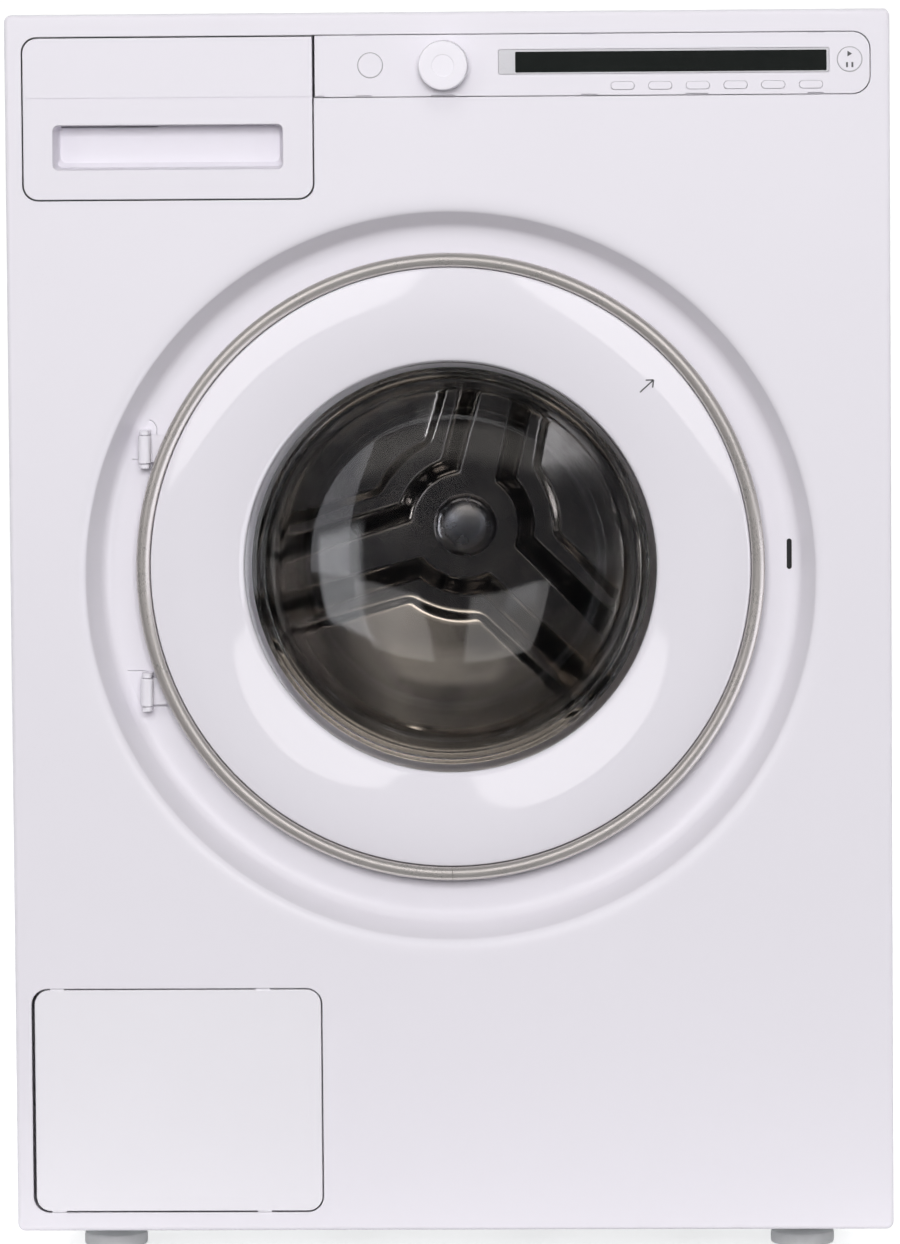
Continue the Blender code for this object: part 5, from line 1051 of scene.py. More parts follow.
def build_perforations():
    """Rows of small dished holes round the rolled wall, staggered, clear of the lifters; a black disc in each
    hole is painted shade for the dark seen through it.
    """
    radius = drum_outside - drum_sheet
    hole, lip, sides = 0.00165, 0.0030, 10
    ring = lathe([(hole, -0.0001), (0.0024, -0.00045), (lip, -0.0001), (lip, 0.0002), (hole, 0.0002)],
                 (0.0, 0.0), sides, closed=True)
    # Black disc set in each hole: painted shade, not an opening.
    hole_shade_radius, proud, sunk = 0.00170, -0.00012, 0.0002
    hole_shade_disc = lathe([(0.0, proud), (hole_shade_radius, proud), (hole_shade_radius, sunk), (0.0, sunk)], (0.0, 0.0), sides)
    rows, around = 22, 116
    margin = 0.030
    lifter_half = 0.062 / radius
    lifters = [drum_first + math.pi / 3 + math.tau * arm / 3 for arm in range(3)]
    places = []
    for row in range(rows):
        d = drum_front + margin + (drum_back - drum_front - 2 * margin) * row / (rows - 1)
        for k in range(around):
            a = math.tau * (k + (0.5 if row % 2 else 0.0)) / around
            if any(abs((a - lifter + math.pi) % math.tau - math.pi) < lifter_half for lifter in lifters):
                continue
            point = (door_x + radius * math.cos(a), depth(d), door_z + radius * math.sin(a))
            places.append((point, -a, 0.0, 1.0))
    for name, form, look, slot in (("drum_hole_rims", ring, drum_steel(), "drum_steel"),
                                   ("drum_holes", hole_shade_disc, hole_dark(), "black_plastic")):
        mesh = mesh_of(form)
        mesh.transform(Matrix.Rotation(-math.pi / 2, 4, "Z"))
        scattered(name, mesh, places, look, "drum", angle=60.0)


# Painted shade: black of the discs that stand in for the dark behind the drum's holes.
def hole_dark():
    return finish("hole_dark", (0.012, 0.012, 0.012), 0.8, shade=0.2)


def lifter_section(turn, radius, height, width):
    """Rounded hump on the drum's wall, seen along its axis."""
    half = math.asin(width / 2 / radius)
    points = [(door_x + radius * math.cos(a), door_z + radius * math.sin(a))
              for a in turns_of(8, turn - half, turn + half)]
    steps = 40
    for i in range(1, steps):
        side = 1 - 2 * i / steps
        a = turn + half * side
        rise = height * math.cos(math.pi * side / 2) ** 1.5
        points.append((door_x + (radius - rise) * math.cos(a), door_z + (radius - rise) * math.sin(a)))
    return points


def build_lifters():
    """Three smooth lifters, low at the mouth and full over most of their length."""
    shares = ((0.0, 0.45), (0.02, 0.52), (0.06, 0.66), (0.14, 0.84), (0.26, 0.95), (0.42, 1.0), (0.6, 1.0),
              (0.76, 0.985), (0.86, 0.95), (0.93, 0.90), (0.975, 0.84), (1.0, 0.78))
    start, end = drum_front + 0.018, drum_back - 0.018
    height, width = 0.0655, 0.1196
    foot = (drum_outside - drum_sheet) * math.cos(math.pi / 28) - 0.0006
    for number in range(3):
        turn = drum_first - math.pi + math.tau * number / 3
        sections = [(lifter_section(turn, foot, height * share, width), depth(start + (end - start) * along))
                    for along, share in shares]
        finished(f"lifter_{number + 1}", loft(sections), drum_steel(), "drum", [f"drum_lifter_{number + 1}"],
                 angle=42.0, weighted=False)


# Controls and drawer
def build_drawer():
    """White drawer front with its two-part seam and the deep slot that a hand pulls at."""
    box, _, _ = front_box("drawer_front", hair)
    body = plate(box, 0.0100, depth(0.0002), depth(0.0298), 0.0008, square=("TR",))
    seam_bottom, seam_top = 0.79305, 0.79375
    seam = bar(box[0] - 0.01, box[1] + 0.01, seam_bottom, seam_top, -0.01, 0.0011, 0.0001)
    left, right, bottom, top = grip = (-0.2649, -0.1106, 0.7458, 0.7751)
    inside = (left + 0.001, right - 0.001, bottom + 0.001, top)
    floor = (left + 0.003, right - 0.003, bottom + 0.004, top - 0.0004)
    handle = loft([(outline_box(*outline, radius), depth(d)) for outline, radius, d in
                   ((grown(grip, 0.0014), 0.0048, -0.0006), (grown(grip, 0.0004), 0.0039, 0.0006),
                    (grip, 0.0035, 0.0018), (inside, 0.0040, 0.0200), (floor, 0.0040, 0.0238))])
    slit = bar(-0.2615, -0.1960, 0.77345, 0.77435, 0.0190, 0.0275, 0.0003)
    finished("drawer_face", carved(body, [seam, handle, slit]), white_moulding(), "drawer", ["drawer_front"],
             angle=28.0)
    build_tray()


def build_tray():
    """Detergent tray with its three rounded compartments."""
    low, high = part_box("drawer_tray")
    left, right, bottom, top = low[0] + hair, high[0] - hair, low[2] + hair, high[2] - hair
    near, far = low[1] + hair, high[1] - hair
    body = upright_loft((left, right, near, far), 0.004,
                        ((bottom, 0.0016), (bottom + 0.0012, 0.0004), (bottom + 0.003, 0.0),
                         (top - 0.0006, 0.0), (top, 0.0005)))
    wall = 0.0022
    span = right - left
    edges = (left, left + 0.40 * span, left + 0.70 * span, right)
    floor = bottom + wall
    tools = []
    for i in range(3):
        a = edges[i] + (wall if i == 0 else wall / 2)
        b = edges[i + 1] - (wall if i == 2 else wall / 2)
        tools.append(upright_loft((a, b, near + wall, far - wall), 0.0055,
                                  ((floor, 0.0050), (floor + 0.0015, 0.0016), (floor + 0.005, 0.0),
                                   (top + 0.004, 0.0))))
    finished("detergent_tray", carved(body, tools), pale_moulding(), "drawer", ["drawer_tray"],
             angle=30.0)


def upright_loft(box, radius, rows, steps=8, ease=0.0):
    """Form with a rounded plan, from rows of (height, inset); ease is the share of it off the radius."""
    return loft([[(x, y, z) for x, y in outline_box(*grown(box, -inset), radius - ease * inset, steps)]
                 for z, inset in rows])


def build_fascia():
    """Control strip that starts where the drawer ends, with its display opening and key openings."""
    box, _, far = front_box("control_fascia", hair)
    body = plate(box, 0.0120, depth(0.0002), far, 0.0006, square=("TL", "BL"))
    skin, wall, outside = 0.0032, 0.002, -0.004
    tools = [prism(outline_box(*grown(box, -wall), 0.010), depth(skin), far + hair + overrun)]
    screen, _, _ = front_box("display_window")
    tools.append(bar(*grown(screen, hair), outside, 0.0022, 0.0014, 8))
    for name in ("power_button", "start_button"):
        x, z, r = key_place(name)
        tools.append(ring_tool(x, z, r + 0.0002))
    for i in range(6):
        x, z = middle_of(f"option_button_{i + 1}")
        tools.append(bar(x - 0.00805, x + 0.00805, z - 0.00285, z + 0.00275, outside, 0.010, 0.0026, 8))
    x, z = middle_of("program_knob")
    tools.append(ring_tool(x, z, 0.0056))
    notch_deep, past = 0.0011, 0.004
    notches_above = ((-0.0862, 0.0094), (-0.05545, 0.0101), (0.0964, 0.0108), (0.2480, 0.0108))
    notches_below = ((-0.0849, 0.0060), (-0.0554, 0.0108), (-0.0020, 0.0162), (0.0961, 0.0108),
                     (0.1682, 0.0156), (0.2478, 0.0108))
    for notches, bottom, top in ((notches_above, box[3] - notch_deep, box[3] + past),
                                 (notches_below, box[2] - past, box[2] + notch_deep)):
        for middle, width in notches:
            tools.append(bar(middle - width / 2, middle + width / 2, bottom, top, outside, 0.0030, 0.0004, 3))
    finished("fascia_moulding", carved(body, tools), white_moulding(), "cabinet", ["control_fascia"],
             angle=28.0)
    build_display()


def ring_tool(x, z, radius):
    """Round opening with an eased edge."""
    ahead, back = -0.006, 0.012
    line = [(0.0, ahead), (radius + 0.0009, ahead), (radius + 0.0003, 0.0003), (radius, 0.0008),
            (radius, back), (0.0, back)]
    return lathe(at_depths(line), (x, z), 48)


def build_display():
    """Black window in a grey surround."""
    box, near, far = front_box("display_window")
    finished("display_strip", plate(box, 0.0012, near, far, 0.0003), display_grey(), "cabinet",
             ["display_window"])
    window = (0.0464, 0.2552, box[2] + 0.0010, box[3] - 0.0014)
    finished("display_glass", plate(window, 0.0008, near - 0.00012, near + 0.0006, 0.0002), display_black(),
             "cabinet")


def key_place(name):
    """Middle and radius of a round key, without the flange behind it."""
    flange = 0.0012
    low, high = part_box(name)
    return *middle_of(name), (high[0] - low[0]) / 2 - flange


def build_knob():
    """Round knob with softly rolled edge, a shallow dish on its face and a plain centre."""
    low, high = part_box("program_knob")
    tip = low[1] + 0.0001
    radius = (high[0] - low[0]) / 2 - 0.0001
    foot = depth(-0.0006)
    stem, stem_end = 0.0050, high[1]
    line = [(0.0, tip + 0.0006), (0.0068, tip + 0.0006), (0.0072, tip + 0.00055), (0.0074, tip + 0.0001),
            (0.0078, tip), (0.0145, tip), (0.0152, tip + 0.0001)]
    line += bend((0.0156, tip + 0.0002), (0.0163, tip + 0.0003), (0.0165, tip + 0.0014), 6)
    line += [(radius - 0.0002, tip + 0.009), (radius, foot - 0.0014), (radius, foot - 0.0006),
             (radius - 0.0004, foot), (stem, foot), (stem, stem_end - 0.0004), (stem - 0.0004, stem_end),
             (0.0, stem_end)]
    finished("knob_body", lathe(line, middle_of("program_knob"), 128), knob_finish(), "knob",
             ["program_knob"], angle=34.0)


def knob_finish():
    return finish("knob_white", (0.80, 0.775, 0.83), 0.32, shade=0.008, spread=0.04, patch=60.0, grain=900.0,
                  bump=0.08, reach=0.00003)


def build_keys():
    """Round keys with their plain signs and a thin grey ring of painted groove shade round each, and the row
    of long keys under the display.
    """
    ring_near, ring_far = depth(0.00016), depth(0.0006)
    for label in ("power", "start"):
        name = label + "_button"
        x, z, r = key_place(name)
        low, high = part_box(name)
        face, back, flange = low[1] + 0.00005, high[1], r + 0.0010
        line = [(0.0, face + 0.00018), (r * 0.5, face + 0.00012), (r - 0.0006, face),
                (r - 0.0002, face + 0.00012), (r, face + 0.0004), (r, back - 0.0020), (flange, back - 0.0014),
                (flange, back), (0.0, back)]
        finished(label + "_cap", lathe(line, (x, z), 72), white_moulding(), label + "_key", [name],
                 angle=34.0)
        # Thin grey ring in the chamfered gap round the key: painted shade of the groove.
        inner, outer = r + 0.0001, r + 0.0005
        line = [(inner, ring_near), (outer, ring_near), (outer, ring_far), (inner, ring_far)]
        ring = lathe(line, (x, z), 72, closed=True)
        finished(label + "_groove", ring, line_grey(), "cabinet", weighted=False)
    build_signs()
    half_width, half_height = 0.00785, 0.0026
    for i in range(6):
        name = f"option_button_{i + 1}"
        x, z = middle_of(name)
        _, near, far = front_box(name)
        form = plate((x - half_width, x + half_width, z - half_height, z + half_height), half_height - 0.0001,
                     near + 0.00005, far, 0.0004, steps=5)
        finished(f"option_cap_{i + 1}", form, white_moulding(), f"option_key_{i + 1}", [name],
                 angle=34.0)


def build_signs():
    """Plain play and pause signs on the right key, one above the other."""
    x, z = middle_of("start_button")
    _, near, _ = front_box("start_button")
    face = near + 0.00002
    rise, size, bar_gap, bar_half = 0.0037, 0.0026, 0.0018, 0.0017
    left = x - 0.0003
    play = [(left - size * 0.45, z + rise - size * 0.75), (left + size * 0.75, z + rise),
            (left - size * 0.45, z + rise + size * 0.75)]
    marks = [prism(play, face - 0.00005, face + 0.00005)]
    for shift in (-bar_gap, bar_gap):
        ends = [Vector((x + shift, face, z - rise + end)) for end in (-bar_half, bar_half)]
        marks.append(flat_stroke(*ends, 0.0013, 0.0001))
    finished("start_sign", merge(marks), sign_grey(), "start_key", weighted=False)


def sign_grey():
    return finish("sign_grey", (0.10, 0.10, 0.105), 0.5, shade=0.03)


# Service hatch
def build_hatch():
    """Service hatch with clip tongues, hinge lugs, catch and ribs, and the mark of its opening side."""
    box, _, _ = front_box("service_hatch", hair)
    bottom, top = box[2], box[3]
    body = loft([(outline_box(*grown(box, -inset), 0.0100 - inset), depth(d))
                 for inset, d in ((0.0010, 0.0002), (0.0004, 0.0004), (0.0, 0.0010), (0.0, 0.0040))])
    mark = bar(-0.09915, -0.09845, 0.1032, 0.1227, -0.01, 0.0006)
    parts = [carved(body, [mark])]
    tongue_half = 0.0007
    for left, right in ((-0.2736, -0.2641), (-0.1339, -0.1244)):
        for z in (bottom, top):
            parts.append(bar(left, right, z - tongue_half, z + tongue_half, 0.0008, 0.0036))
    back = 0.0038
    lug_left, lug_right = -0.2735, -0.2641
    for low, high in ((bottom + 0.003, bottom + 0.011), (top - 0.011, top - 0.003)):
        outline = [(lug_left, low), (lug_right, low), (lug_right, high), (lug_left, high)]
        parts.append(prism(outline, depth(back), depth(0.0105)))
    middle, catch_half = (bottom + top) / 2, 0.012
    parts.append(bar(-0.1299, -0.1281, middle - catch_half, middle + catch_half, back, 0.0118, 0.0003))
    first_rib, rib_pitch, rib_half, rib_margin = -0.250, 0.024, 0.0006, 0.016
    for k in range(5):
        x = first_rib + rib_pitch * k
        parts.append(bar(x - rib_half, x + rib_half, bottom + rib_margin, top - rib_margin, back, 0.0060))
    finished("hatch_plate", merge(parts), hatch_finish(), "hatch", ["service_hatch"],
             angle=28.0)


def hatch_finish():
    return finish("hatch_white", (0.765, 0.745, 0.79), 0.34, shade=0.008, spread=0.04, patch=6.0,
                  grain=2600.0, bump=0.05, reach=0.00003)


def build_filter():
    """Pump filter: a ribbed cap with its grip bar, a threaded neck and an open cage."""
    x, z = centre = (-0.150, 0.108)
    rim, neck, groove, cage_radius = 0.0338, 0.0268, 0.0258, 0.0218
    line = [(0.0, 0.0302), (rim - 0.0016, 0.0302), (rim - 0.0004, 0.0306), (rim, 0.0316), (rim, 0.0376),
            (rim - 0.0004, 0.0379), (neck, 0.0379)]
    first_groove, thread_pitch = 0.0405, 0.0045
    for k in range(3):
        d = first_groove + thread_pitch * k
        line += [(groove, d), (groove, d + 0.0014), (neck, d + 0.0018), (neck, d + 0.0030)]
    line += [(neck, 0.0548), (cage_radius, 0.0550), (cage_radius, 0.1128), (0.0, 0.1128)]
    slot_pitch, slot_half, slot_reach = 0.0100, 0.0032, 0.030
    slots = []
    for k in range(4):
        middle = z + slot_pitch * (k - 1.5)
        slots.append(bar(x - slot_reach, x + slot_reach, middle - slot_half, middle + slot_half,
                         0.0620, 0.1060, 0.0010, 3))
    cage = carved(lathe(at_depths(line), centre, 96), slots)
    grip = plate((x - 0.0297, x + 0.0297, z - 0.0048, z + 0.0048), 0.0046, depth(0.0142), depth(0.0310),
                 0.0012)
    finished("filter_cap", merge([cage, grip]), pale_moulding(), "filter", ["pump_filter"])
    rib_count, rib_near, rib_length = 48, 0.0320, 0.0056
    rib = mesh_of(prism(outline_box(-0.0006, 0.0002, -0.0007, 0.0007, 0.0002, 2), 0.0, rib_length))
    places = [((x + rim * math.cos(a), depth(rib_near), z + rim * math.sin(a)), -a, 0.0, 1.0)
              for a in turns_of(rib_count)[:-1]]
    scattered("filter_ribs", rib, places, pale_moulding(), "filter")


# Pieces behind, below and inside
def build_worktop():
    """Laminate lid with a rolled edge band."""
    low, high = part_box("worktop")
    bottom, top = low[2], high[2]
    rows = ((bottom + hair, 0.0006), (bottom + 0.0012, 0.0), (top - 0.0030, 0.0), (top - 0.0012, 0.0005),
            (top - 0.0003, 0.0016), (top - 0.0001, 0.0030))
    plan = grown((low[0], high[0], low[1], high[1]), -hair)
    finished("lid", upright_loft(plan, 0.004, rows, 6, ease=0.5), laminate(), "cabinet", ["worktop"],
             angle=30.0)


def laminate():
    return finish("lid_laminate", (0.79, 0.775, 0.81), 0.42, shade=0.012, spread=0.06, patch=5.0,
                  grain=1300.0, bump=0.12, reach=0.00004)


def build_feet():
    """Rubber pads under threaded studs with their lock nuts."""
    pad = [(0.0, 0.0002), (0.0170, 0.0002), (0.0175, 0.0014), (0.0190, 0.0014), (0.0195, 0.0003),
           (0.0212, 0.0003), (0.0218, 0.0012), (0.0219, 0.0066), (0.0214, 0.0082), (0.0196, 0.0094),
           (0.0120, 0.0099), (0.0, 0.0099)]
    root, crest, thread_end, thread_pitch = 0.0071, 0.0079, 0.0385, 0.00125
    stud = [(0.0, 0.0095), (0.0078, 0.0095)]
    z = 0.0105
    while z < thread_end:
        stud += [(root, z), (crest, z + 0.0006)]
        z += thread_pitch
    stud += [(0.0070, 0.0394), (0.0, 0.0396)]
    nut = [(circle(0.0, 0.0, radius, 6), height)
           for radius, height in ((0.0092, 0.0112), (0.0106, 0.0122), (0.0106, 0.0160), (0.0092, 0.0170))]
    for place in ("front_left", "front_right", "rear_left", "rear_right"):
        node = "foot_" + place
        low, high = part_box(node)
        x, y = (low[0] + high[0]) / 2, (low[1] + high[1]) / 2
        finished("foot_pad_" + place, upright(lathe(pad, (0.0, 0.0), 48), x, y), foot_rubber(), "cabinet",
                 [node])
        fastening = merge([upright(lathe(stud, (0.0, 0.0), 24), x, y), upright(loft(nut), x, y)])
        finished("foot_stud_" + place, fastening, zinc(), "cabinet")


def upright(form, x, y):
    """A form turned about Y is stood up on Z and set at (x, y)."""
    for corner in form.verts:
        u, w, v = corner.co
        corner.co = (x + u, y + v, w)
    bmesh.ops.recalc_face_normals(form, faces=form.faces)
    return form


def foot_rubber():
    return finish("foot_rubber", (0.78, 0.78, 0.79), 0.60, shade=0.15, spread=0.14, patch=30.0, grain=1500.0,
                  bump=0.15, reach=0.00008)


def build_hose():
    """Pump hose in two halves that slide in one another as the tub rises and sinks."""
    low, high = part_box("sump_hose")
    x, y = (low[0] + high[0]) / 2, (low[1] + high[1]) / 2
    travel, ease, sides = 0.0105, 0.0006, 40
    foot, top = low[2] + hair, high[2] - travel
    bore, stem = 0.0150, 0.0172
    line = [(bore, foot), (stem, foot), (stem, top - ease), (stem - ease, top), (bore, top)]
    finished("pump_hose", upright(lathe(line, (0.0, 0.0), sides, closed=True), x, y), rubber(), "cabinet",
             ["sump_hose"])
    start, end = foot + 0.0115, high[2]
    ribs, steps, rib_middle, rib_rise = 5, 50, 0.0198, 0.0008
    line = [(rib_middle - rib_rise * math.cos(math.tau * ribs * i / steps), start + (end - start) * i / steps)
            for i in range(steps + 1)]
    collar = end + 0.0075
    line += [(0.0190, collar - 0.0005), (0.0185, collar), (stem + 0.0002, collar),
             (stem + 0.0002, end + ease), (stem + ease, end), (stem + ease, start)]
    finished("pump_hose_cuff", upright(lathe(line, (0.0, 0.0), sides, closed=True), x, y), rubber(), "tub")


def build_back():
    """Screws of the back cover and of the shell; a place with no room for a head stays bare."""
    low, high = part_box("back_cover")
    inset, sunk, head, furthest = 0.0075, 0.0001, 0.0019, 0.3085
    left, right, bottom, top = grown((low[0], high[0], low[2], high[2]), -inset)
    cover_y, shell_y = high[1] - sunk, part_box("cabinet_shell")[1][1] - sunk
    spots = [((x, cover_y, z), 0.6 * x) for x in (left, 0.0, right) for z in (bottom, top)]
    spots += [((x, cover_y, z), z) for z in (0.26, 0.41, 0.56) for x in (left, right)]
    spots += [((x, shell_y, z), z * 3) for x in (-0.280, 0.280) for z in (0.060, 0.30, 0.54, 0.800)]
    places = [(point, turn, math.pi, 1.0) for point, turn in spots if point[1] + head < furthest]
    scattered("back_screws", screw_mesh(), places, zinc(), "cabinet")


# Finish of each slot, for the pieces taken over from the frame
LOOKS = {
    "white_enamel": enamel, "hinge_enamel": enamel, "white_plastic": white_moulding,
    "knob_plastic": white_moulding, "door_white": gloss_moulding, "display_black": display_black,
    "tray_plastic": pale_moulding,
    "grey_plastic": grey_moulding, "black_plastic": black_moulding, "black_rubber": rubber,
    "foot_rubber": foot_rubber, "stainless_steel": plain_steel, "drum_steel": drum_steel,
    "trim_steel": trim_steel, "zinc_plate": zinc, "heater_steel": heater_steel, "cast_aluminium": cast,
    "ballast_iron": ballast, "door_glass": door_glass_finish,
}


def paint_carried():
    slots = {entry["node"]: entry["material_slot"] for entry in frame["record"]["subparts"]}
    for name, made in frame["nodes"].items():
        for place in made.material_slots:
            place.material = LOOKS[slots[name]]()


# Stage
def ray_kind(tree, names):
    """One where the ray is of any of the kinds that are named."""
    path = tree.nodes.new("ShaderNodeLightPath")
    total = None
    for name in names:
        socket = path.outputs[name]
        if total:
            both = new_node(tree, "ShaderNodeMath", operation="MAXIMUM")
            socket_link(tree, total, both.inputs[0])
            socket_link(tree, socket, both.inputs[1])
            socket = both.outputs["Value"]
        total = socket
    return total


def product(tree, first, second):
    node = new_node(tree, "ShaderNodeMath", operation="MULTIPLY")
    socket_link(tree, first, node.inputs[0])
    if isinstance(second, float):
        node.inputs[1].default_value = second
    else:
        socket_link(tree, second, node.inputs[1])
    return node.outputs["Value"]


def ramp(tree, value, low, high, first=0.0, last=1.0):
    """Smooth climb from first to last while the value goes from low to high."""
    node = tree.nodes.new("ShaderNodeMapRange")
    node.interpolation_type = "SMOOTHSTEP"
    for name, number in (("From Min", low), ("From Max", high), ("To Min", first), ("To Max", last)):
        node.inputs[name].default_value = number
    socket_link(tree, value, node.inputs["Value"])
    return node.outputs["Result"]


def between(tree, value, low, high, soft):
    rise = ramp(tree, value, low - soft, low + soft)
    fall = ramp(tree, value, high - soft, high + soft, 1.0, 0.0)
    return product(tree, rise, fall)


def blend(tree, share, first, second):
    """Colour that goes from the first to the second with the share; either may be a colour or a socket."""
    node = tree.nodes.new("ShaderNodeMix")
    node.data_type = "RGBA"
    socket_link(tree, share, node.inputs["Factor"])
    for name, value in (("A", first), ("B", second)):
        if isinstance(value, tuple):
            node.inputs[name].default_value = (*value, 1.0)
        else:
            socket_link(tree, value, node.inputs[name])
    return node.outputs["Result"]


def floor_finish():
    """Pale floor that is white where it is seen or mirrored and keeps the soft shadow under the machine."""
    made = bpy.data.materials.new("floor_paper")
    made.use_nodes = True
    tree = made.node_tree
    shader = tree.nodes["Principled BSDF"]
    shader.inputs["Roughness"].default_value = 0.9
    shader.inputs["Specular IOR Level"].default_value = 0.1
    place = tree.nodes.new("ShaderNodeTexCoord").outputs["Object"]
    tint = blend(tree, noise(tree, place, 2.0), (0.86, 0.86, 0.865), (0.87, 0.87, 0.875))
    socket_link(tree, tint, shader.inputs["Base Color"])
    seen = ray_kind(tree, ("Is Camera Ray", "Is Glossy Ray", "Is Transmission Ray"))
    shader.inputs["Emission Color"].default_value = (1.0, 1.0, 1.0, 1.0)
    socket_link(tree, product(tree, seen, setting("stage").floor_white), shader.inputs["Emission Strength"])
    return made


# Soft boxes in front, as ranges of a ray's X and Z, the softness of their edges, and their light
boxes_on_gloss = (
    ((0.46, 1.10), (-0.95, 0.02), 0.010, (1.9, 1.9, 2.05)),
    ((0.07, 0.44), (0.03, 0.44), 0.012, (1.9, 1.85, 1.85)),
    ((-0.44, -0.07), (0.03, 0.44), 0.012, (1.9, 1.85, 1.85)),
)
boxes_in_drum = (
    ((0.34, 0.80), (-0.20, 0.34), 0.04, (4.6, 4.6, 4.8)),
    ((-0.34, -0.18), (0.02, 0.24), 0.02, (1.2, 1.2, 1.28)),
    ((-0.36, 0.38), (0.11, 0.34), 0.04, (0.36, 0.32, 0.28)),
    ((-0.28, 0.30), (0.30, 0.66), 0.08, (2.4, 2.12, 1.84)),
    ((-0.50, 0.50), (-0.80, -0.46), 0.08, (1.1, 1.02, 0.95)),
)


def dim_room(tree, across, up, boxes):
    """Dim room with soft boxes, by the direction that is looked in."""
    room = (0.020, 0.020, 0.023)
    for (left, right), (low, high), soft, light in boxes:
        share = product(tree, between(tree, across, left, right, soft), between(tree, up, low, high, soft))
        room = blend(tree, share, room, light)
    return room


def build_world(stage):
    """Room light by direction; seen by the camera, and behind the machine, the room is white."""
    world = bpy.data.worlds.new("room")
    bpy.context.scene.world = world
    world.use_nodes = True
    tree = world.node_tree
    tree.nodes.clear()
    out = tree.nodes.new("ShaderNodeOutputWorld")
    parts = tree.nodes.new("ShaderNodeSeparateXYZ")
    socket_link(tree, tree.nodes.new("ShaderNodeTexCoord").outputs["Generated"], parts.inputs["Vector"])
    across, up = parts.outputs["X"], parts.outputs["Z"]
    ahead = product(tree, parts.outputs["Y"], -1.0)
    white = (1.0, 1.0, 1.0)
    behind = ramp(tree, parts.outputs["Y"], -0.08, 0.10)
    mirrored = blend(tree, behind, dim_room(tree, across, up, boxes_on_gloss), white)
    through = blend(tree, behind, dim_room(tree, across, up, boxes_in_drum), white)
    sides = (stage.world,) * 3
    lit = blend(tree, ramp(tree, ahead, 0.0, 1.0), sides, (stage.front,) * 3)
    lit = blend(tree, ramp(tree, parts.outputs["Y"], 0.0, 1.0), lit, (stage.rear,) * 3)
    seen = blend(tree, ray_kind(tree, ("Is Glossy Ray",)), lit, mirrored)
    seen = blend(tree, ray_kind(tree, ("Is Transmission Ray",)), seen, through)
    seen = blend(tree, ray_kind(tree, ("Is Camera Ray",)), seen, white)
    light = tree.nodes.new("ShaderNodeBackground")
    socket_link(tree, seen, light.inputs["Color"])
    socket_link(tree, light.outputs["Background"], out.inputs["Surface"])


def soft_lamp(name, place, aim, size, power):
    """Rectangular lamp turned to a point, itself not mirrored in the pieces."""
    data = bpy.data.lights.new(name, "AREA")
    data.shape = "RECTANGLE"
    data.size, data.size_y = size
    data.energy = power
    made = linked(name, data)
    made.location = place
    made.rotation_euler = (Vector(aim) - Vector(place)).to_track_quat("-Z", "Y").to_euler()
    made.visible_glossy = False
    made.visible_transmission = False


def build_floor():
    """Floor that rises behind the machine in a smooth sweep."""
    form = bmesh.new()
    reach, start, bend_at, bend_radius, top = 6.0, -0.45, 3.4, 1.6, 7.0
    steps = 16
    rows = [(start, 0.0), (bend_at, 0.0)]
    rows += [(bend_at + bend_radius * math.sin(a), bend_radius - bend_radius * math.cos(a))
             for a in turns_of(steps, 0.0, math.pi / 2)[1:]]
    rows.append((bend_at + bend_radius, top))
    loops = [[form.verts.new((x, y, z)) for x in (-reach, reach)] for y, z in rows]
    for here, there in zip(loops, loops[1:]):
        form.faces.new((here[0], here[1], there[1], there[0]))
    mesh = bpy.data.meshes.new("floor_sweep")
    form.to_mesh(mesh)
    form.free()
    mesh.shade_smooth()
    mesh.materials.append(floor_finish())
    linked("floor_sweep", mesh)


def build_camera(stage):
    data = bpy.data.cameras.new("view")
    data.sensor_width = 36.0
    data.lens = stage.lens
    data.shift_y = stage.shift
    data.clip_end = 50.0
    made = linked("view", data)
    turn = (Matrix.Rotation(stage.yaw, 4, "Z") @ Matrix.Rotation(math.pi / 2 - stage.pitch, 4, "X")
            @ Matrix.Rotation(stage.roll, 4, "Z"))
    made.matrix_world = Matrix.Translation((stage.side, face_y - stage.distance, stage.height)) @ turn
    bpy.context.scene.camera = made


def build_stage():
    stage = setting("stage")
    bpy.context.scene.view_settings.view_transform = "Standard"
    build_camera(stage)
    build_world(stage)
    build_floor()
    front, top, rear = (0.0, face_y, 0.45), (0.0, face_y, 0.8), (0.0, 0.1, 0.4)
    for name, place, aim, size, power in (("front_box", (0.0, -4.4, 1.6), front, (1.7, 1.3), 132.0),
                                          ("left_box", (-2.7, -3.7, 1.9), front, (1.2, 1.8), 20.0),
                                          ("right_box", (2.8, -3.7, 1.7), front, (1.2, 1.8), 12.0),
                                          ("top_box", (0.0, -1.7, 2.3), top, (1.2, 0.8), 7.0),
                                          ("left_rear_box", (-3.0, 1.6, 2.0), rear, (1.6, 1.6), 62.0),
                                          ("right_rear_box", (3.0, 1.6, 2.0), rear, (1.6, 1.6), 62.0)):
        soft_lamp(name, place, aim, size, power * stage.lamp)


# Steps in the order they are built
class Step:
    """Runs the parts of an operator, one after the other"""

    def execute(self, context):
        for build in self.parts:
            build()
        return {"FINISHED"}


class WASHER_OT_stage(Step, bpy.types.Operator):
    """Set up the floor, room light, lamps and camera"""
    bl_idname = "washer.stage"
    bl_label = "Stage"
    parts = (build_stage,)


class WASHER_OT_panel(Step, bpy.types.Operator):
    """Build the dished front panel"""
    bl_idname = "washer.front"
    bl_label = "Front panel"
    parts = (build_front_panel,)


class WASHER_OT_door(Step, bpy.types.Operator):
    """Build the door with its rings, bowl, frame, seal and hinge"""
    bl_idname = "washer.door"
    bl_label = "Door"
    parts = (build_door_rings, build_door_glass, build_door_inside, build_hinge)


class WASHER_OT_drum(Step, bpy.types.Operator):
    """Build the drum with its pressed back, perforations and lifters"""
    bl_idname = "washer.drum"
    bl_label = "Drum"
    parts = (build_drum,)


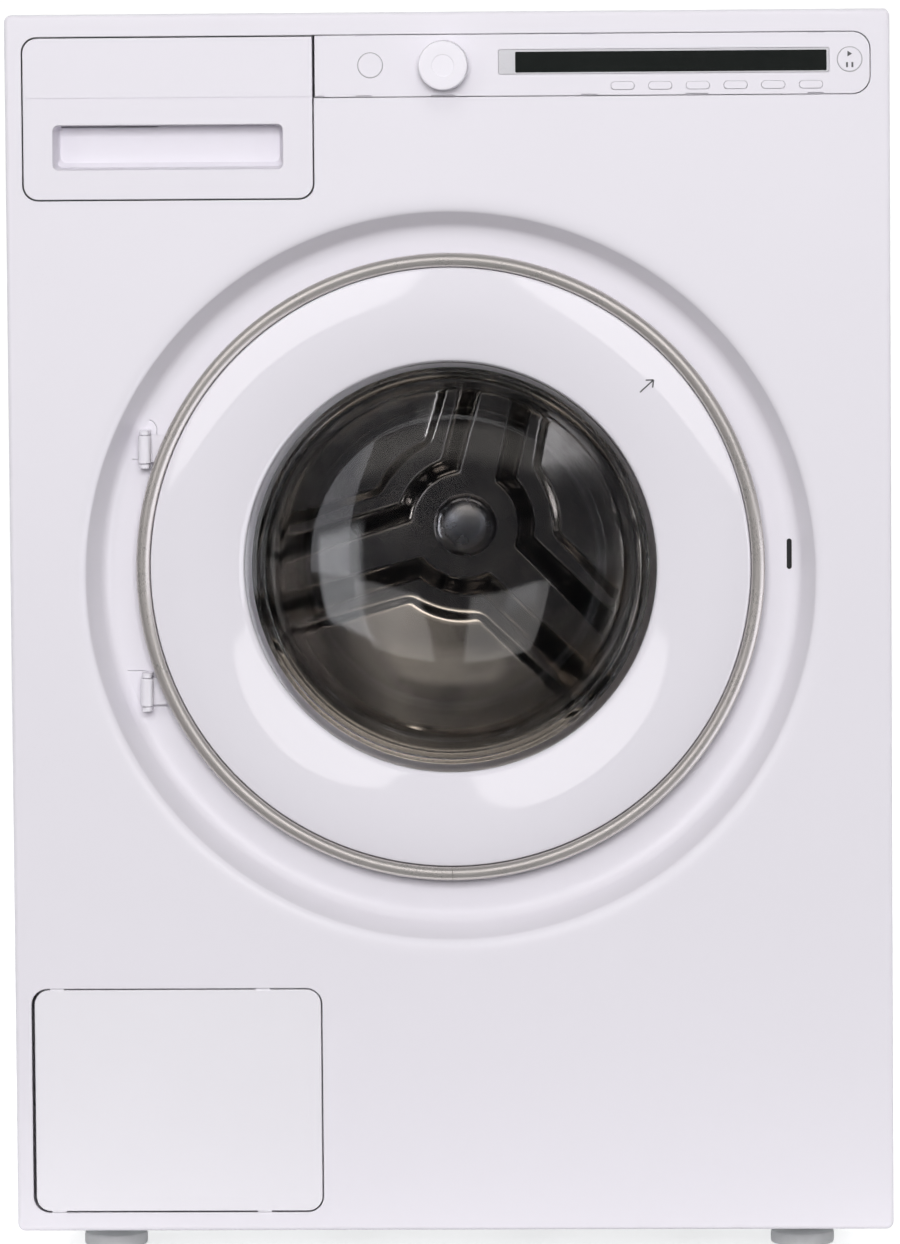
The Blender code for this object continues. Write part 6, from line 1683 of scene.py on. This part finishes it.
class WASHER_OT_drawer(Step, bpy.types.Operator):
    """Build the detergent drawer"""
    bl_idname = "washer.drawer"
    bl_label = "Detergent drawer"
    parts = (build_drawer,)


class WASHER_OT_controls(Step, bpy.types.Operator):
    """Build the control strip, display, knob and keys"""
    bl_idname = "washer.controls"
    bl_label = "Controls"
    parts = (build_fascia, build_knob, build_keys)


class WASHER_OT_hatch(Step, bpy.types.Operator):
    """Build the service hatch and the pump filter behind it"""
    bl_idname = "washer.hatch"
    bl_label = "Service hatch"
    parts = (build_hatch, build_filter)


class WASHER_OT_cabinet(Step, bpy.types.Operator):
    """Build the lid, feet, pump hose and the screws at the back"""
    bl_idname = "washer.cabinet"
    bl_label = "Cabinet"
    parts = (build_worktop, build_feet, build_hose, build_back)


class WASHER_OT_finishes(Step, bpy.types.Operator):
    """Give the pieces taken over from the frame their finishes"""
    bl_idname = "washer.finishes"
    bl_label = "Finishes"
    parts = (paint_carried,)


class WASHER_PT_panel(bpy.types.Panel):
    bl_idname = "WASHER_PT_panel"
    bl_label = "Washing machine"
    bl_space_type = "VIEW_3D"
    bl_region_type = "UI"
    bl_category = "Washer"

    def draw(self, context):
        for step in STEPS:
            self.layout.operator(step.bl_idname)


STEPS = (WASHER_OT_stage, WASHER_OT_finishes, WASHER_OT_panel, WASHER_OT_door, WASHER_OT_drum,
         WASHER_OT_drawer, WASHER_OT_controls, WASHER_OT_hatch, WASHER_OT_cabinet)


def register():
    for group, kind in SETTINGS:
        bpy.utils.register_class(kind)
        setattr(bpy.types.Scene, "washer_" + group, bpy.props.PointerProperty(type=kind))
    for step in (*STEPS, WASHER_PT_panel):
        bpy.utils.register_class(step)


def unregister():
    for step in reversed((*STEPS, WASHER_PT_panel)):
        bpy.utils.unregister_class(step)
    for group, kind in SETTINGS:
        delattr(bpy.types.Scene, "washer_" + group)
        bpy.utils.unregister_class(kind)


def main():
    register()
    for step in STEPS:
        group, name = step.bl_idname.split(".")
        getattr(getattr(bpy.ops, group), name)()
    bpy.context.view_layer.update()


if __name__ == "__main__":
    main()
